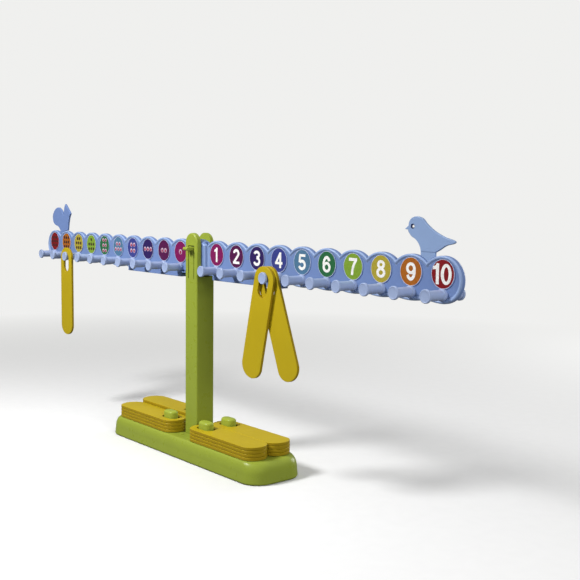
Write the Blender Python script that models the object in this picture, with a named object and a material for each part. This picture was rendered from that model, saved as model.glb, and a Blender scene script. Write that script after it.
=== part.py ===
"""Number balance: a rocking beam on a forked post, with slotted hanging weights.

Metres, +Z up, X along the beam, -Y is the side with the latch and the viewer.
The origin is on the table, under the middle of the base.
"""

import math

import bmesh
import bpy
from mathutils import Matrix

# General fits
GAP = 0.0003
FOOT_GAP = 0.0004
OVERSHOOT = 0.0020
PEG_COUNT = 10
SIDES = (-1, 1)

# Base
BASE_HALF_LENGTH = 0.1150
BASE_HALF_DEPTH = 0.0275
BASE_HEIGHT = 0.0180
BASE_CORNER = 0.0170
BASE_CORNER_STEPS = 5
BASE_SIDE_HEIGHT = 0.0073
BASE_DRAFT = 0.0006
BASE_CROWN_X = 0.0078
BASE_CROWN_Y = 0.0036
BASE_WALL = 0.0024
BASE_RIB = 0.0018
BASE_RIB_FOOT = 0.0015
BASE_RIB_STATIONS = (0.036, 0.066, 0.094)

# Post and fork
PIVOT_RISE = 0.1620
POST_HALF_WIDTH = 0.0093
POST_HALF_DEPTH = 0.0092
POST_EDGE = 0.0014
POST_WALL = 0.0024
EAR_RISE = 0.0180
EAR_THICKNESS = 0.0041
FORK_FLOOR = 0.0203
SPIGOT_HALF_WIDTH = 0.0070
SPIGOT_FOOT = 0.0030
SOCKET_FOOT = 0.0010

# Snap latch in the front ear
TONGUE_HALF_WIDTH = 0.0037
TONGUE_THICKNESS = 0.0029
TONGUE_SLIT = 0.0007
TONGUE_ROOT = 0.0218
TONGUE_TOP = 0.0061
TAB_REACH = 0.0068
TAB_THICKNESS = 0.0030
TAB_DROP = 0.0004
TAB_SIDE_INSET = 0.0003

# Pivot pin and its bearings
PIN_RADIUS = 0.0024
PIN_SEAT = 0.0011
PIN_EDGE = 0.0004
PIN_SIDES = 16
BEARING_CLEARANCE = 0.00035
BEARING_SIDES = 20

# Beam plates
PITCH = 0.0280
PLATE_HALF = 0.0012
RIM_HALF = 0.0022
RIM_WIDTH = 0.0020
LOBE_TOP = 0.0120
LOBE_DIP = 0.0051
LOBE_BOTTOM = 0.0197
LOBE_BOTTOM_RADIUS = 0.0550
END_REACH = 0.0162

# Pegs
PEG_DROP = 0.0137
PEG_REACH = 0.0190
PEG_REAR_REACH = 0.0168
PEG_SHAFT = 0.0035
PEG_HEAD = 0.0047
PEG_HEAD_LENGTH = 0.0020
PEG_HEAD_EDGE = 0.0006
PEG_SIDES = 10

# Raised seats for the number labels
SEAT_RADIUS = 0.0098
SEAT_HALF = 0.0016
SEAT_SIDES = 16

# Centre yoke
HUB_HALF_WIDTH = 0.0142
HUB_SIDE_CLEARANCE = 0.0004
HUB_BOTTOM = 0.0184
HUB_PROUD = 0.0006
HUB_CORE = 0.0102
RAIL_HALF = 0.0036
RAIL_BOTTOM = 0.0222
RAIL_START = 0.0245
RAIL_END = 4.19 * PITCH
CHANNEL_ROOF = 0.0020
WEB_DEPTH = 0.0014
TONGUE_DROP = 0.0006

# Weights
WEIGHT_LENGTH = 0.0925
WEIGHT_WIDTH = 0.0238
WEIGHT_THICKNESS = 0.00255
WEIGHT_END_DEPTH = 0.0106
WEIGHT_STEPS = 7
SLOT_WIDTH = 0.0110
SLOT_LENGTH = 0.0200
SLOT_MARGIN = 0.0054
LEFT_HANGER = 8
RIGHT_HANGER = 4
FRONT_TILT = 12.5
BACK_TILT = 21.0

# Storage posts and stacks
STACK_START = 0.0125
STORE_HALF_LENGTH = 0.0075
STORE_HALF_WIDTH = 0.0044
STORE_HEIGHT = 0.0175
STORE_CROWN = 0.0024
STORE_TENON_INSET = 0.0016
STORE_TENON_DEPTH = 0.0036
STACKS = (("left_front", -1, -1, 4), ("left_back", -1, 1, 5),
          ("right_front", 1, -1, 4), ("right_back", 1, 1, 4))

# Toppers
TOPPER_HALF = 0.0011
TENON_HALF = 0.0007
TENON_HALF_WIDTH = 0.0020
TENON_DEPTH = 0.0024
BIRD_HEIGHT = 0.0303
SQUIRREL_HEIGHT = 0.0343

# Values that follow from the ones above
BASE_TOP = BASE_HEIGHT
PIVOT_Z = BASE_TOP + PIVOT_RISE
EAR_INNER = POST_HALF_DEPTH - EAR_THICKNESS
HUB_HALF = EAR_INNER - HUB_SIDE_CLEARANCE
BEARING_RADIUS = PIN_RADIUS + BEARING_CLEARANCE
TONGUE_INNER = POST_HALF_DEPTH - TONGUE_THICKNESS
LOBE_RADIUS = ((PITCH / 2) ** 2 + LOBE_DIP ** 2) / (2 * LOBE_DIP)
LOBE_CENTRE = LOBE_TOP - LOBE_RADIUS
END_X = PEG_COUNT * PITCH
RAIL_TOP = PEG_DROP + PEG_SHAFT + GAP
WEB_TOP = HUB_BOTTOM - WEB_DEPTH
CHANNEL_FLOOR = RAIL_BOTTOM - CHANNEL_ROOF
RIM_START = HUB_HALF_WIDTH + GAP
SLOT_TOP = PEG_SHAFT + GAP
WEIGHT_TOP = SLOT_TOP + SLOT_MARGIN
SLOT_CENTRE = SLOT_TOP - SLOT_LENGTH / 2
STACK_STEP = WEIGHT_THICKNESS + GAP
ROW_CENTRE = WEIGHT_WIDTH / 2 + GAP / 2
STORE_X = STACK_START + SLOT_MARGIN + SLOT_LENGTH / 2
TOPPER_X = (PEG_COUNT - 0.5) * PITCH


def clear_scene():
    for thing in list(bpy.data.objects):
        bpy.data.objects.remove(thing, do_unlink=True)


def material(name, colour, roughness, metallic=0.0):
    made = bpy.data.materials.new(name)
    made.use_nodes = True
    shader = made.node_tree.nodes["Principled BSDF"]
    shader.inputs["Base Color"].default_value = (*colour, 1.0)
    shader.inputs["Roughness"].default_value = roughness
    shader.inputs["Metallic"].default_value = metallic
    made.diffuse_color = (*colour, 1.0)
    return made


def empty(name, location, parent=None, turn=0.0):
    made = bpy.data.objects.new(name, None)
    made.location = location
    made.rotation_euler = (0.0, math.radians(turn), 0.0)
    made.parent = parent
    bpy.context.scene.collection.objects.link(made)
    return made


def solid(name, mesh_data, paint, parent=None, location=(0, 0, 0), smooth=None):
    bmesh.ops.recalc_face_normals(mesh_data, faces=mesh_data.faces)
    mesh = bpy.data.meshes.new(name)
    mesh_data.to_mesh(mesh)
    mesh_data.free()
    if smooth is not None:
        mesh.shade_smooth()
        mesh.set_sharp_from_angle(angle=math.radians(smooth))
    made = bpy.data.objects.new(name, mesh)
    made.location = location
    made.parent = parent
    if paint is not None:
        mesh.materials.append(paint)
    bpy.context.scene.collection.objects.link(made)
    return made


def cutter(name, mesh_data, parent=None, location=(0, 0, 0)):
    made = solid(name, mesh_data, None, parent, location)
    made.hide_render = True
    made.display_type = "WIRE"
    return made


def combine(target, tool, operation):
    step = target.modifiers.new(tool.name, "BOOLEAN")
    step.operation = operation
    step.solver = "EXACT"
    step.object = tool


def round_edges(target, width, segments, angle=50.0):
    step = target.modifiers.new("rounding", "BEVEL")
    step.width = width
    step.segments = segments
    step.limit_method = "ANGLE"
    step.angle_limit = math.radians(angle)


# Mesh builders


def arc(centre_x, centre_z, radius_x, radius_z, start, end, steps):
    points = []
    for step in range(steps + 1):
        angle = math.radians(start + (end - start) * step / steps)
        points.append((centre_x + radius_x * math.cos(angle),
                       centre_z + radius_z * math.sin(angle)))
    return points


def add_loop(data, points, level):
    return [data.verts.new((x, level, z)) for x, z in points]


def add_wall(data, low, high):
    count = len(low)
    for index in range(count):
        following = (index + 1) % count
        data.faces.new((low[index], low[following], high[following], high[index]))


def add_prism(data, outline, near, far):
    low = add_loop(data, outline, near)
    high = add_loop(data, outline, far)
    data.faces.new(low)
    data.faces.new(high)
    add_wall(data, low, high)


def prism(outline, near, far):
    data = bmesh.new()
    add_prism(data, outline, near, far)
    return data


def ring_prism(outer, inner, near, far):
    data = bmesh.new()
    outer_low = add_loop(data, outer, near)
    outer_high = add_loop(data, outer, far)
    inner_low = add_loop(data, inner, near)
    inner_high = add_loop(data, inner, far)
    add_wall(data, outer_low, outer_high)
    add_wall(data, inner_low, inner_high)
    add_wall(data, outer_low, inner_low)
    add_wall(data, outer_high, inner_high)
    return data


def add_box(data, low, high):
    outline = [(low[0], low[2]), (high[0], low[2]), (high[0], high[2]), (low[0], high[2])]
    add_prism(data, outline, low[1], high[1])


def boxes(*corners):
    data = bmesh.new()
    for low, high in corners:
        add_box(data, low, high)
    return data


def add_turning(data, profile, x, z, sides):
    """Turn a profile of (y, radius) pairs about a line along Y at x, z."""
    rings = []
    for level, radius in profile:
        circle = arc(x, z, radius, radius, 0.0, 360.0 * (sides - 1) / sides, sides - 1)
        rings.append(add_loop(data, circle, level))
    for near, far in zip(rings, rings[1:]):
        add_wall(data, near, far)
    data.faces.new(rings[0])
    data.faces.new(rings[-1])


def loft(levels):
    """Close a stack of horizontal loops: each level is (z, list of x, y pairs)."""
    data = bmesh.new()
    loops = []
    for z, points in levels:
        loops.append([data.verts.new((x, y, z)) for x, y in points])
    for low, high in zip(loops, loops[1:]):
        add_wall(data, low, high)
    data.faces.new(loops[0])
    data.faces.new(loops[-1])
    return data


def rounded_rectangle(half_x, half_y, radius, steps):
    points = []
    corners = ((1, 1, 0.0), (-1, 1, 90.0), (-1, -1, 180.0), (1, -1, 270.0))
    for side_x, side_y, start in corners:
        points += arc(side_x * (half_x - radius), side_y * (half_y - radius),
                      radius, radius, start, start + 90.0, steps)
    return points


def smooth_run(points, cuts):
    """Run a Catmull-Rom curve through open control points."""
    ends = [points[0]] + list(points) + [points[-1]]
    run = []
    for before, start, end, after in zip(ends, ends[1:], ends[2:], ends[3:]):
        for step in range(cuts):
            t = step / cuts
            weights = (-t ** 3 + 2 * t ** 2 - t, 3 * t ** 3 - 5 * t ** 2 + 2,
                       -3 * t ** 3 + 4 * t ** 2 + t, t ** 3 - t ** 2)
            run.append(tuple(0.5 * sum(w * p[axis] for w, p in
                                       zip(weights, (before, start, end, after)))
                             for axis in (0, 1)))
    run.append(points[-1])
    return run


# Base


def base_levels(inset, top, steps):
    """Give the crowned block's loops, all moved inwards by one inset."""
    half_x = BASE_HALF_LENGTH - inset
    half_y = BASE_HALF_DEPTH - inset
    corner = BASE_CORNER - inset
    crown_foot = min(BASE_SIDE_HEIGHT, top / 2)
    levels = [(0.0, rounded_rectangle(half_x, half_y, corner, BASE_CORNER_STEPS))]
    for step in range(steps + 1):
        angle = math.pi / 2 * step / steps
        lean_x = BASE_DRAFT + BASE_CROWN_X * (1 - math.cos(angle))
        lean_y = BASE_DRAFT + BASE_CROWN_Y * (1 - math.cos(angle))
        height = crown_foot + (top - crown_foot) * math.sin(angle)
        loop = rounded_rectangle(half_x - lean_x, half_y - lean_y, corner - lean_y,
                                 BASE_CORNER_STEPS)
        levels.append((height, loop))
    return levels


def base_cavity():
    roof = BASE_TOP - BASE_WALL
    levels = base_levels(BASE_WALL, roof, 5)
    levels[0] = (-OVERSHOOT, levels[0][1])
    cavity = cutter("base_cavity", loft(levels))
    half = BASE_RIB / 2
    low = BASE_RIB_FOOT
    high = BASE_TOP
    spine = boxes(((-BASE_HALF_LENGTH, -half, low), (BASE_HALF_LENGTH, half, high)))
    combine(cavity, cutter("base_spine", spine), "DIFFERENCE")
    ribs = bmesh.new()
    for side in SIDES:
        for station in BASE_RIB_STATIONS:
            x = side * station
            add_box(ribs, (x - half, -BASE_HALF_DEPTH, low), (x + half, BASE_HALF_DEPTH, high))
    combine(cavity, cutter("base_ribs", ribs), "DIFFERENCE")
    socket_x = SPIGOT_HALF_WIDTH + GAP + BASE_WALL
    socket_y = POST_HALF_DEPTH + GAP + BASE_WALL
    socket = boxes(((-socket_x, -socket_y, SOCKET_FOOT), (socket_x, socket_y, high)))
    combine(cavity, cutter("base_socket", socket), "DIFFERENCE")
    return cavity


def build_base(paint):
    base = solid("base_shell", loft(base_levels(0.0, BASE_TOP, 5)), paint)
    combine(base, base_cavity(), "DIFFERENCE")
    sockets = bmesh.new()
    for side_x in SIDES:
        for side_y in SIDES:
            loop = oblong_plan(side_x * STORE_X, side_y * ROW_CENTRE,
                               STORE_TENON_INSET - GAP)
            add_column(sockets, loop, BASE_TOP - 2 * STORE_TENON_DEPTH, BASE_TOP + OVERSHOOT)
    combine(base, cutter("storage_sockets", sockets), "DIFFERENCE")
    hole_x = SPIGOT_HALF_WIDTH + GAP
    hole_y = POST_HALF_DEPTH + GAP
    hole = boxes(((-hole_x, -hole_y, -OVERSHOOT), (hole_x, hole_y, BASE_TOP + OVERSHOOT)))
    combine(base, cutter("spigot_hole", hole), "DIFFERENCE")
    return base


# Storage posts


def oblong_plan(x, y, inset):
    """Give a storage post's round-ended plan, moved inwards by one inset."""
    half_width = STORE_HALF_WIDTH - inset
    half_length = STORE_HALF_LENGTH - inset
    plan = rounded_rectangle(half_length, half_width, half_width * 0.98, 4)
    return [(x + dx, y + dy) for dx, dy in plan]


def add_column(data, plan, low, high):
    """Stand a straight column with the given plan between two heights."""
    loops = [[data.verts.new((x, y, z)) for x, y in plan] for z in (low, high)]
    add_wall(data, loops[0], loops[1])
    data.faces.new(loops[0])
    data.faces.new(loops[1])


def build_storage_post(name, side_x, side_y, paint):
    """Make a round-topped post whose tenon is pressed through the base."""
    edge = STORE_CROWN / 3
    levels = [(-STORE_TENON_DEPTH, oblong_plan(0.0, 0.0, STORE_TENON_INSET)),
              (GAP, oblong_plan(0.0, 0.0, STORE_TENON_INSET)),
              (GAP, oblong_plan(0.0, 0.0, 0.0)),
              (STORE_HEIGHT - STORE_CROWN, oblong_plan(0.0, 0.0, 0.0)),
              (STORE_HEIGHT - edge, oblong_plan(0.0, 0.0, edge)),
              (STORE_HEIGHT, oblong_plan(0.0, 0.0, STORE_CROWN))]
    place = (side_x * STORE_X, side_y * ROW_CENTRE, BASE_TOP)
    return solid(name, loft(levels), paint, None, place, smooth=40.0)


# Post, fork and latch


def build_post(paint):
    shoulder = BASE_TOP + GAP
    spring = PIVOT_Z + EAR_RISE - POST_HALF_WIDTH
    outline = [(-POST_HALF_WIDTH, SPIGOT_FOOT), (POST_HALF_WIDTH, SPIGOT_FOOT)]
    outline += arc(0.0, spring, POST_HALF_WIDTH, POST_HALF_WIDTH, 0.0, 180.0, 14)
    post = solid("post", prism(outline, -POST_HALF_DEPTH, POST_HALF_DEPTH), paint, smooth=35.0)
    round_edges(post, POST_EDGE, 4, 60.0)
    edge = SPIGOT_HALF_WIDTH
    wide = POST_HALF_WIDTH + OVERSHOOT
    deep = POST_HALF_DEPTH + OVERSHOOT
    trims = boxes(((-wide, -deep, 0.0), (-edge, deep, shoulder)),
                  ((edge, -deep, 0.0), (wide, deep, shoulder)))
    combine(post, cutter("spigot_trims", trims), "DIFFERENCE")
    floor = PIVOT_Z - FORK_FLOOR
    ear_top = PIVOT_Z + EAR_RISE + OVERSHOOT
    gap = boxes(((-wide, -EAR_INNER, floor), (wide, EAR_INNER, ear_top)))
    combine(post, cutter("fork_gap", gap), "DIFFERENCE")
    half = TONGUE_HALF_WIDTH + TONGUE_SLIT
    foot = PIVOT_Z - TONGUE_ROOT - GAP
    head = PIVOT_Z + TONGUE_TOP + TONGUE_SLIT
    window = boxes(((-half, -deep, foot), (half, -EAR_INNER + GAP, head)))
    combine(post, cutter("tongue_window", window), "DIFFERENCE")
    seat = bmesh.new()
    add_turning(seat, ((EAR_INNER - OVERSHOOT, BEARING_RADIUS),
                       (EAR_INNER + PIN_SEAT + 2 * GAP, BEARING_RADIUS)),
                0.0, PIVOT_Z, BEARING_SIDES)
    combine(post, cutter("rear_bearing", seat), "DIFFERENCE")
    room = POST_HALF_WIDTH - POST_WALL
    slim = SPIGOT_HALF_WIDTH - POST_WALL
    step = shoulder + POST_WALL
    roof = foot - POST_WALL
    hollow = [(-slim, 0.0), (slim, 0.0), (slim, step), (room, step),
              (room, roof), (-room, roof), (-room, step), (-slim, step)]
    depth = POST_HALF_DEPTH - POST_WALL
    combine(post, cutter("post_hollow", prism(hollow, -depth, depth)), "DIFFERENCE")
    return post


def build_latch(paint):
    """Make the springy tongue with its thumb tab, turning about its root line."""
    hinge_y = -POST_HALF_DEPTH + TONGUE_THICKNESS / 2
    hinge_z = PIVOT_Z - TONGUE_ROOT
    axis = empty("latch_axis", (0.0, hinge_y, hinge_z))
    half = TONGUE_HALF_WIDTH
    thick = TONGUE_THICKNESS / 2
    height = TONGUE_ROOT + TONGUE_TOP
    tongue = solid("latch_tongue", boxes(((-half, -thick, 0.0), (half, thick, height))),
                   paint, axis)
    tip = -thick - TAB_REACH
    low = height - TAB_THICKNESS - TAB_DROP
    nose = TAB_THICKNESS / 2
    profile = [(0.0, low), (0.0, low + TAB_THICKNESS)]
    profile += arc(tip + nose, low + nose, nose, nose, 90.0, 270.0, 4)
    tab = prism(profile, -half + TAB_SIDE_INSET, half - TAB_SIDE_INSET)
    bmesh.ops.rotate(tab, verts=tab.verts, cent=(0, 0, 0),
                     matrix=Matrix(((0, 1, 0), (1, 0, 0), (0, 0, 1))))
    combine(tongue, cutter("thumb_tab", tab, axis), "UNION")
    cup = bmesh.new()
    add_turning(cup, ((thick - PIN_SEAT - GAP, BEARING_RADIUS),
                      (thick + OVERSHOOT, BEARING_RADIUS)), 0.0, TONGUE_ROOT, BEARING_SIDES)
    combine(tongue, cutter("front_bearing", cup, axis), "DIFFERENCE")
    return tongue


# Beam


def lobe_arc(index, inset, start, end, steps):
    """Follow lobe `index` from x offset `start` to `end` along its top arc."""
    radius = LOBE_RADIUS - inset
    points = []
    for step in range(steps + 1):
        offset = start + (end - start) * step / steps
        points.append((index * PITCH + offset,
                       LOBE_CENTRE + math.sqrt(radius ** 2 - offset ** 2)))
    return points


def lower_edge(x, inset):
    """Give the plate's lower edge height beyond the rail at distance x."""
    offset = x - PITCH * round(x / PITCH)
    radius = LOBE_BOTTOM_RADIUS - inset
    return -LOBE_BOTTOM + LOBE_BOTTOM_RADIUS - math.sqrt(radius ** 2 - offset ** 2)


def lower_run(start, inset):
    count = 22
    run = []
    for step in range(count + 1):
        x = start + (END_X - start) * step / count
        run.append((x, lower_edge(x, inset)))
    return run


def end_curve(inset, steps):
    centre = (LOBE_TOP - LOBE_BOTTOM) / 2
    rise = (LOBE_TOP + LOBE_BOTTOM) / 2
    return arc(END_X, centre, END_REACH - inset, rise - inset, -90.0, 90.0, steps)


def top_run(inset, last):
    """Run along the scallops from the outer lobe's crown in to x = last."""
    half = PITCH / 2
    run = lobe_arc(PEG_COUNT, inset, 0.0, -half, 3)
    for index in range(PEG_COUNT - 1, 1, -1):
        run += lobe_arc(index, inset, half, -half, 6)[1:]
    run += lobe_arc(1, inset, half, last - PITCH, 6)[1:]
    return run


def plate_outline():
    inner = HUB_CORE + GAP
    tongue_top = LOBE_TOP - LOBE_DIP - TONGUE_DROP
    deep_start = RAIL_START + GAP
    deep_end = RAIL_END - GAP
    floor = -CHANNEL_FLOOR + GAP
    shallow = -WEB_TOP + GAP
    outline = [(inner, shallow), (deep_start, shallow), (deep_start, floor), (deep_end, floor)]
    outline += lower_run(deep_end, 0.0)
    outline += end_curve(0.0, 16)[1:]
    outline += top_run(0.0, RIM_START)[1:]
    outline += [(RIM_START, tongue_top), (inner, tongue_top)]
    return outline


def pocket_outline():
    low = -CHANNEL_FLOOR - OVERSHOOT
    outline = [(RIM_START + RIM_WIDTH, low), (RAIL_END + GAP, low)]
    outline += lower_run(RAIL_END + GAP, RIM_WIDTH)
    outline += end_curve(RIM_WIDTH, 16)[1:]
    outline += top_run(RIM_WIDTH, RIM_START + RIM_WIDTH)[1:]
    return outline


def thin_outline():
    """Outline the inner end of a plate, which slides into the hub."""
    low = -CHANNEL_FLOOR - OVERSHOOT
    high = LOBE_TOP + OVERSHOOT
    return [(0.0, low), (RIM_START, low), (RIM_START, high), (0.0, high)]


def mirrored(points, side):
    return [(side * x, z) for x, z in points]


def build_arm(name, side, paint, axis):
    outline = mirrored(plate_outline(), side)
    arm = solid(name, prism(outline, -RIM_HALF, RIM_HALF), paint, axis, smooth=30.0)
    pockets = bmesh.new()
    for region in (mirrored(pocket_outline(), side), mirrored(thin_outline(), side)):
        add_prism(pockets, region, -RIM_HALF - OVERSHOOT, -PLATE_HALF)
        add_prism(pockets, region, PLATE_HALF, RIM_HALF + OVERSHOOT)
    combine(arm, cutter(name + "_pockets", pockets, axis), "DIFFERENCE")
    seats = bmesh.new()
    for index in range(1, PEG_COUNT + 1):
        add_turning(seats, ((-SEAT_HALF, SEAT_RADIUS), (SEAT_HALF, SEAT_RADIUS)),
                    side * index * PITCH, 0.0, SEAT_SIDES)
    combine(arm, cutter(name + "_label_seats", seats, axis), "UNION")
    holes = bmesh.new()
    reach = RIM_HALF + OVERSHOOT
    for index in range(1, PEG_COUNT + 1):
        add_turning(holes, ((-reach, PEG_SHAFT + GAP), (reach, PEG_SHAFT + GAP)),
                    side * index * PITCH, -PEG_DROP, PEG_SIDES)
    combine(arm, cutter(name + "_peg_holes", holes, axis), "DIFFERENCE")
    x = side * TOPPER_X
    half = TENON_HALF_WIDTH + GAP
    depth = TENON_HALF + GAP
    foot = LOBE_TOP - LOBE_DIP - TENON_DEPTH
    slot = boxes(((x - half, -depth, foot), (x + half, depth, LOBE_TOP)))
    combine(arm, cutter(name + "_topper_slot", slot, axis), "DIFFERENCE")
    return arm


def build_peg(name, x, paint, axis):
    """Make one peg that passes through the plate, with a head at each end."""
    peg = bmesh.new()
    edge = PEG_HEAD_EDGE
    head = [(0.0, PEG_HEAD - edge), (edge, PEG_HEAD), (PEG_HEAD_LENGTH, PEG_HEAD),
            (PEG_HEAD_LENGTH, PEG_SHAFT)]
    profile = [(level - PEG_REACH, radius) for level, radius in head]
    profile += [(PEG_REAR_REACH - level, radius) for level, radius in reversed(head)]
    add_turning(peg, profile, 0.0, 0.0, PEG_SIDES)
    return solid(name, peg, paint, axis, (x, 0.0, -PEG_DROP), smooth=40.0)


def yoke_outline():
    right = [(RAIL_START, -HUB_BOTTOM), (RAIL_START, -RAIL_BOTTOM), (RAIL_END, -RAIL_BOTTOM),
             (RAIL_END, -RAIL_TOP), (HUB_HALF_WIDTH, -RAIL_TOP)]
    crown = lobe_arc(0, -HUB_PROUD, HUB_HALF_WIDTH, -HUB_HALF_WIDTH, 14)
    return right + crown + mirrored(reversed(right), -1)


def build_yoke(paint, axis):
    """Make the hub that sits in the fork, with its two rails, as one moulding."""
    yoke = solid("centre_yoke", prism(yoke_outline(), -HUB_HALF, HUB_HALF), paint, axis, smooth=30.0)
    trims = bmesh.new()
    slots = bmesh.new()
    far = RAIL_END + OVERSHOOT
    low = -RAIL_BOTTOM - OVERSHOOT
    high = LOBE_TOP + OVERSHOOT
    for side in SIDES:
        trim = mirrored([(HUB_HALF_WIDTH, low), (far, low), (far, high), (HUB_HALF_WIDTH, high)],
                        side)
        add_prism(trims, trim, -HUB_HALF - OVERSHOOT, -RAIL_HALF)
        add_prism(trims, trim, RAIL_HALF, HUB_HALF + OVERSHOOT)
        slot = mirrored([(HUB_CORE, high), (HUB_CORE, -WEB_TOP), (RAIL_START, -WEB_TOP),
                         (RAIL_START, -CHANNEL_FLOOR), (far, -CHANNEL_FLOOR), (far, high)], side)
        add_prism(slots, slot, -PLATE_HALF - GAP, PLATE_HALF + GAP)
    combine(yoke, cutter("rail_trims", trims, axis), "DIFFERENCE")
    combine(yoke, cutter("plate_slots", slots, axis), "DIFFERENCE")
    bore = bmesh.new()
    reach = HUB_HALF + OVERSHOOT
    add_turning(bore, ((-reach, PIN_RADIUS + GAP), (reach, PIN_RADIUS + GAP)),
                0.0, 0.0, BEARING_SIDES)
    combine(yoke, cutter("pin_bore", bore, axis), "DIFFERENCE")
    return yoke


def build_pin(paint, axis):
    pin = bmesh.new()
    near = -TONGUE_INNER - PIN_SEAT
    far = EAR_INNER + PIN_SEAT + GAP
    slim = PIN_RADIUS - PIN_EDGE
    add_turning(pin, ((near, slim), (near + PIN_EDGE, PIN_RADIUS),
                      (far - PIN_EDGE, PIN_RADIUS), (far, slim)), 0.0, 0.0, PIN_SIDES)
    return solid("pivot_pin", pin, paint, axis, smooth=40.0)


# Toppers


def lobe_height(x):
    """Give the scalloped edge's height at distance x from the pivot."""
    offset = x - PITCH * round(x / PITCH)
    return LOBE_CENTRE + math.sqrt(LOBE_RADIUS ** 2 - offset ** 2)


def seat_run(start, end, steps):
    """Follow the scalloped edge one gap above it."""
    run = []
    for step in range(steps + 1):
        x = start + (end - start) * step / steps
        run.append((x, lobe_height(x) + FOOT_GAP))
    return run


def build_topper(name, side, profile, inner, outer, paint, axis):
    """Stand a flat figure on the edge, its foot from `inner` to `outer` of the dip."""
    foot = seat_run(TOPPER_X - inner, TOPPER_X, 3)[:-1] + seat_run(TOPPER_X, TOPPER_X + outer, 3)
    outline = mirrored(profile + foot, side)
    topper = solid(name, prism(outline, -TOPPER_HALF, TOPPER_HALF), paint, axis, smooth=30.0)
    x = side * TOPPER_X
    edge = lobe_height(TOPPER_X)
    tenon = boxes(((x - TENON_HALF_WIDTH, -TENON_HALF, edge - TENON_DEPTH + GAP),
                   (x + TENON_HALF_WIDTH, TENON_HALF, edge + OVERSHOOT)))
    combine(topper, cutter(name + "_tenon", tenon, axis), "UNION")
    return topper


def scaled(points, size):
    """Turn points given in hundredths of a topper's height into metres."""
    return [(TOPPER_X + x * size / 100, LOBE_TOP - LOBE_DIP + z * size / 100)
            for x, z in points]


def bird_profile():
    """Outline of a small perched bird, its beak to the middle of the beam."""
    back = smooth_run([(20, 22), (32, 28), (50, 38), (70, 43), (75, 47), (69, 51),
                       (45, 57), (21, 67), (4, 77), (-8, 86), (-19, 96), (-36, 100),
                       (-50, 96), (-57, 88), (-59, 79)], 3)
    beak = [(-67, 73), (-70, 71), (-60, 70)]
    breast = smooth_run([(-59, 66), (-50, 56), (-37, 49), (-27, 39), (-22, 28), (-21, 17)], 3)
    return scaled(back + beak + breast, BIRD_HEIGHT)


def squirrel_profile():
    """Outline of a sitting squirrel: tail outwards, snout to the middle."""
    tail = smooth_run([(6, 17), (22, 28), (40, 32), (55, 42), (58, 63), (42, 82), (18, 89),
                       (-3, 80), (-17, 64)], 3)
    ear = [(-23, 90), (-30, 100)]
    head = smooth_run([(-43, 89), (-51, 82), (-62, 71), (-59, 64), (-54, 56), (-49, 40)], 3)
    return scaled(tail + ear + head, SQUIRREL_HEIGHT)


# Weights


def oblong(width, length, centre_z, end_depth, steps):
    half = width / 2
    straight = length / 2 - end_depth
    return (arc(0.0, centre_z + straight, half, end_depth, 0.0, 180.0, steps)
            + arc(0.0, centre_z - straight, half, end_depth, 180.0, 360.0, steps))


def weight_mesh(near, far):
    """Make a weight that hangs from the origin, with its slot round the peg."""
    outer = oblong(WEIGHT_WIDTH, WEIGHT_LENGTH, WEIGHT_TOP - WEIGHT_LENGTH / 2,
                   WEIGHT_END_DEPTH, WEIGHT_STEPS)
    inner = oblong(SLOT_WIDTH, SLOT_LENGTH, SLOT_CENTRE, SLOT_WIDTH / 2, WEIGHT_STEPS)
    return ring_prism(outer, inner, near, far)


def build_hanging(name, side, peg, layer, turn, paint, axis):
    hook = empty(name + "_axis", (side * peg * PITCH, 0.0, -PEG_DROP), axis, turn)
    front = -(PEG_REACH - PEG_HEAD_LENGTH - GAP) + layer * STACK_STEP
    return solid(name, weight_mesh(front, front + WEIGHT_THICKNESS), paint, hook, smooth=30.0)


def build_stack(name, side_x, side_y, count, paint):
    for level in range(count):
        data = weight_mesh(-WEIGHT_THICKNESS / 2, WEIGHT_THICKNESS / 2)
        bmesh.ops.translate(data, verts=data.verts, vec=(0, 0, -SLOT_CENTRE))
        lie_down = Matrix(((0, 0, -side_x), (-side_x, 0, 0), (0, 1, 0)))
        bmesh.ops.rotate(data, verts=data.verts, cent=(0, 0, 0), matrix=lie_down)
        height = BASE_TOP + GAP + WEIGHT_THICKNESS / 2 + level * STACK_STEP
        place = (side_x * STORE_X, side_y * ROW_CENTRE, height)
        solid("weight_%s_%d" % (name, level + 1), data, paint, None, place, smooth=30.0)


def build_beam(beam_paint, steel, yellow):
    axis = empty("beam_axis", (0.0, 0.0, PIVOT_Z))
    build_yoke(beam_paint, axis)
    build_pin(steel, axis)
    for name, side in (("left", -1), ("right", 1)):
        build_arm(name + "_arm", side, beam_paint, axis)
        for index in range(1, PEG_COUNT + 1):
            build_peg("peg_%s_%d" % (name, index), side * index * PITCH, beam_paint, axis)
    build_topper("bird_topper", 1, bird_profile(),
                 0.21 * BIRD_HEIGHT, 0.20 * BIRD_HEIGHT, beam_paint, axis)
    build_topper("squirrel_topper", -1, squirrel_profile(),
                 0.44 * SQUIRREL_HEIGHT, 0.06 * SQUIRREL_HEIGHT, beam_paint, axis)
    build_hanging("weight_hung_left", -1, LEFT_HANGER, 0, 0.0, yellow, axis)
    build_hanging("weight_hung_right_front", 1, RIGHT_HANGER, 0, FRONT_TILT, yellow, axis)
    build_hanging("weight_hung_right_back", 1, RIGHT_HANGER, 1, -BACK_TILT, yellow, axis)


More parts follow.
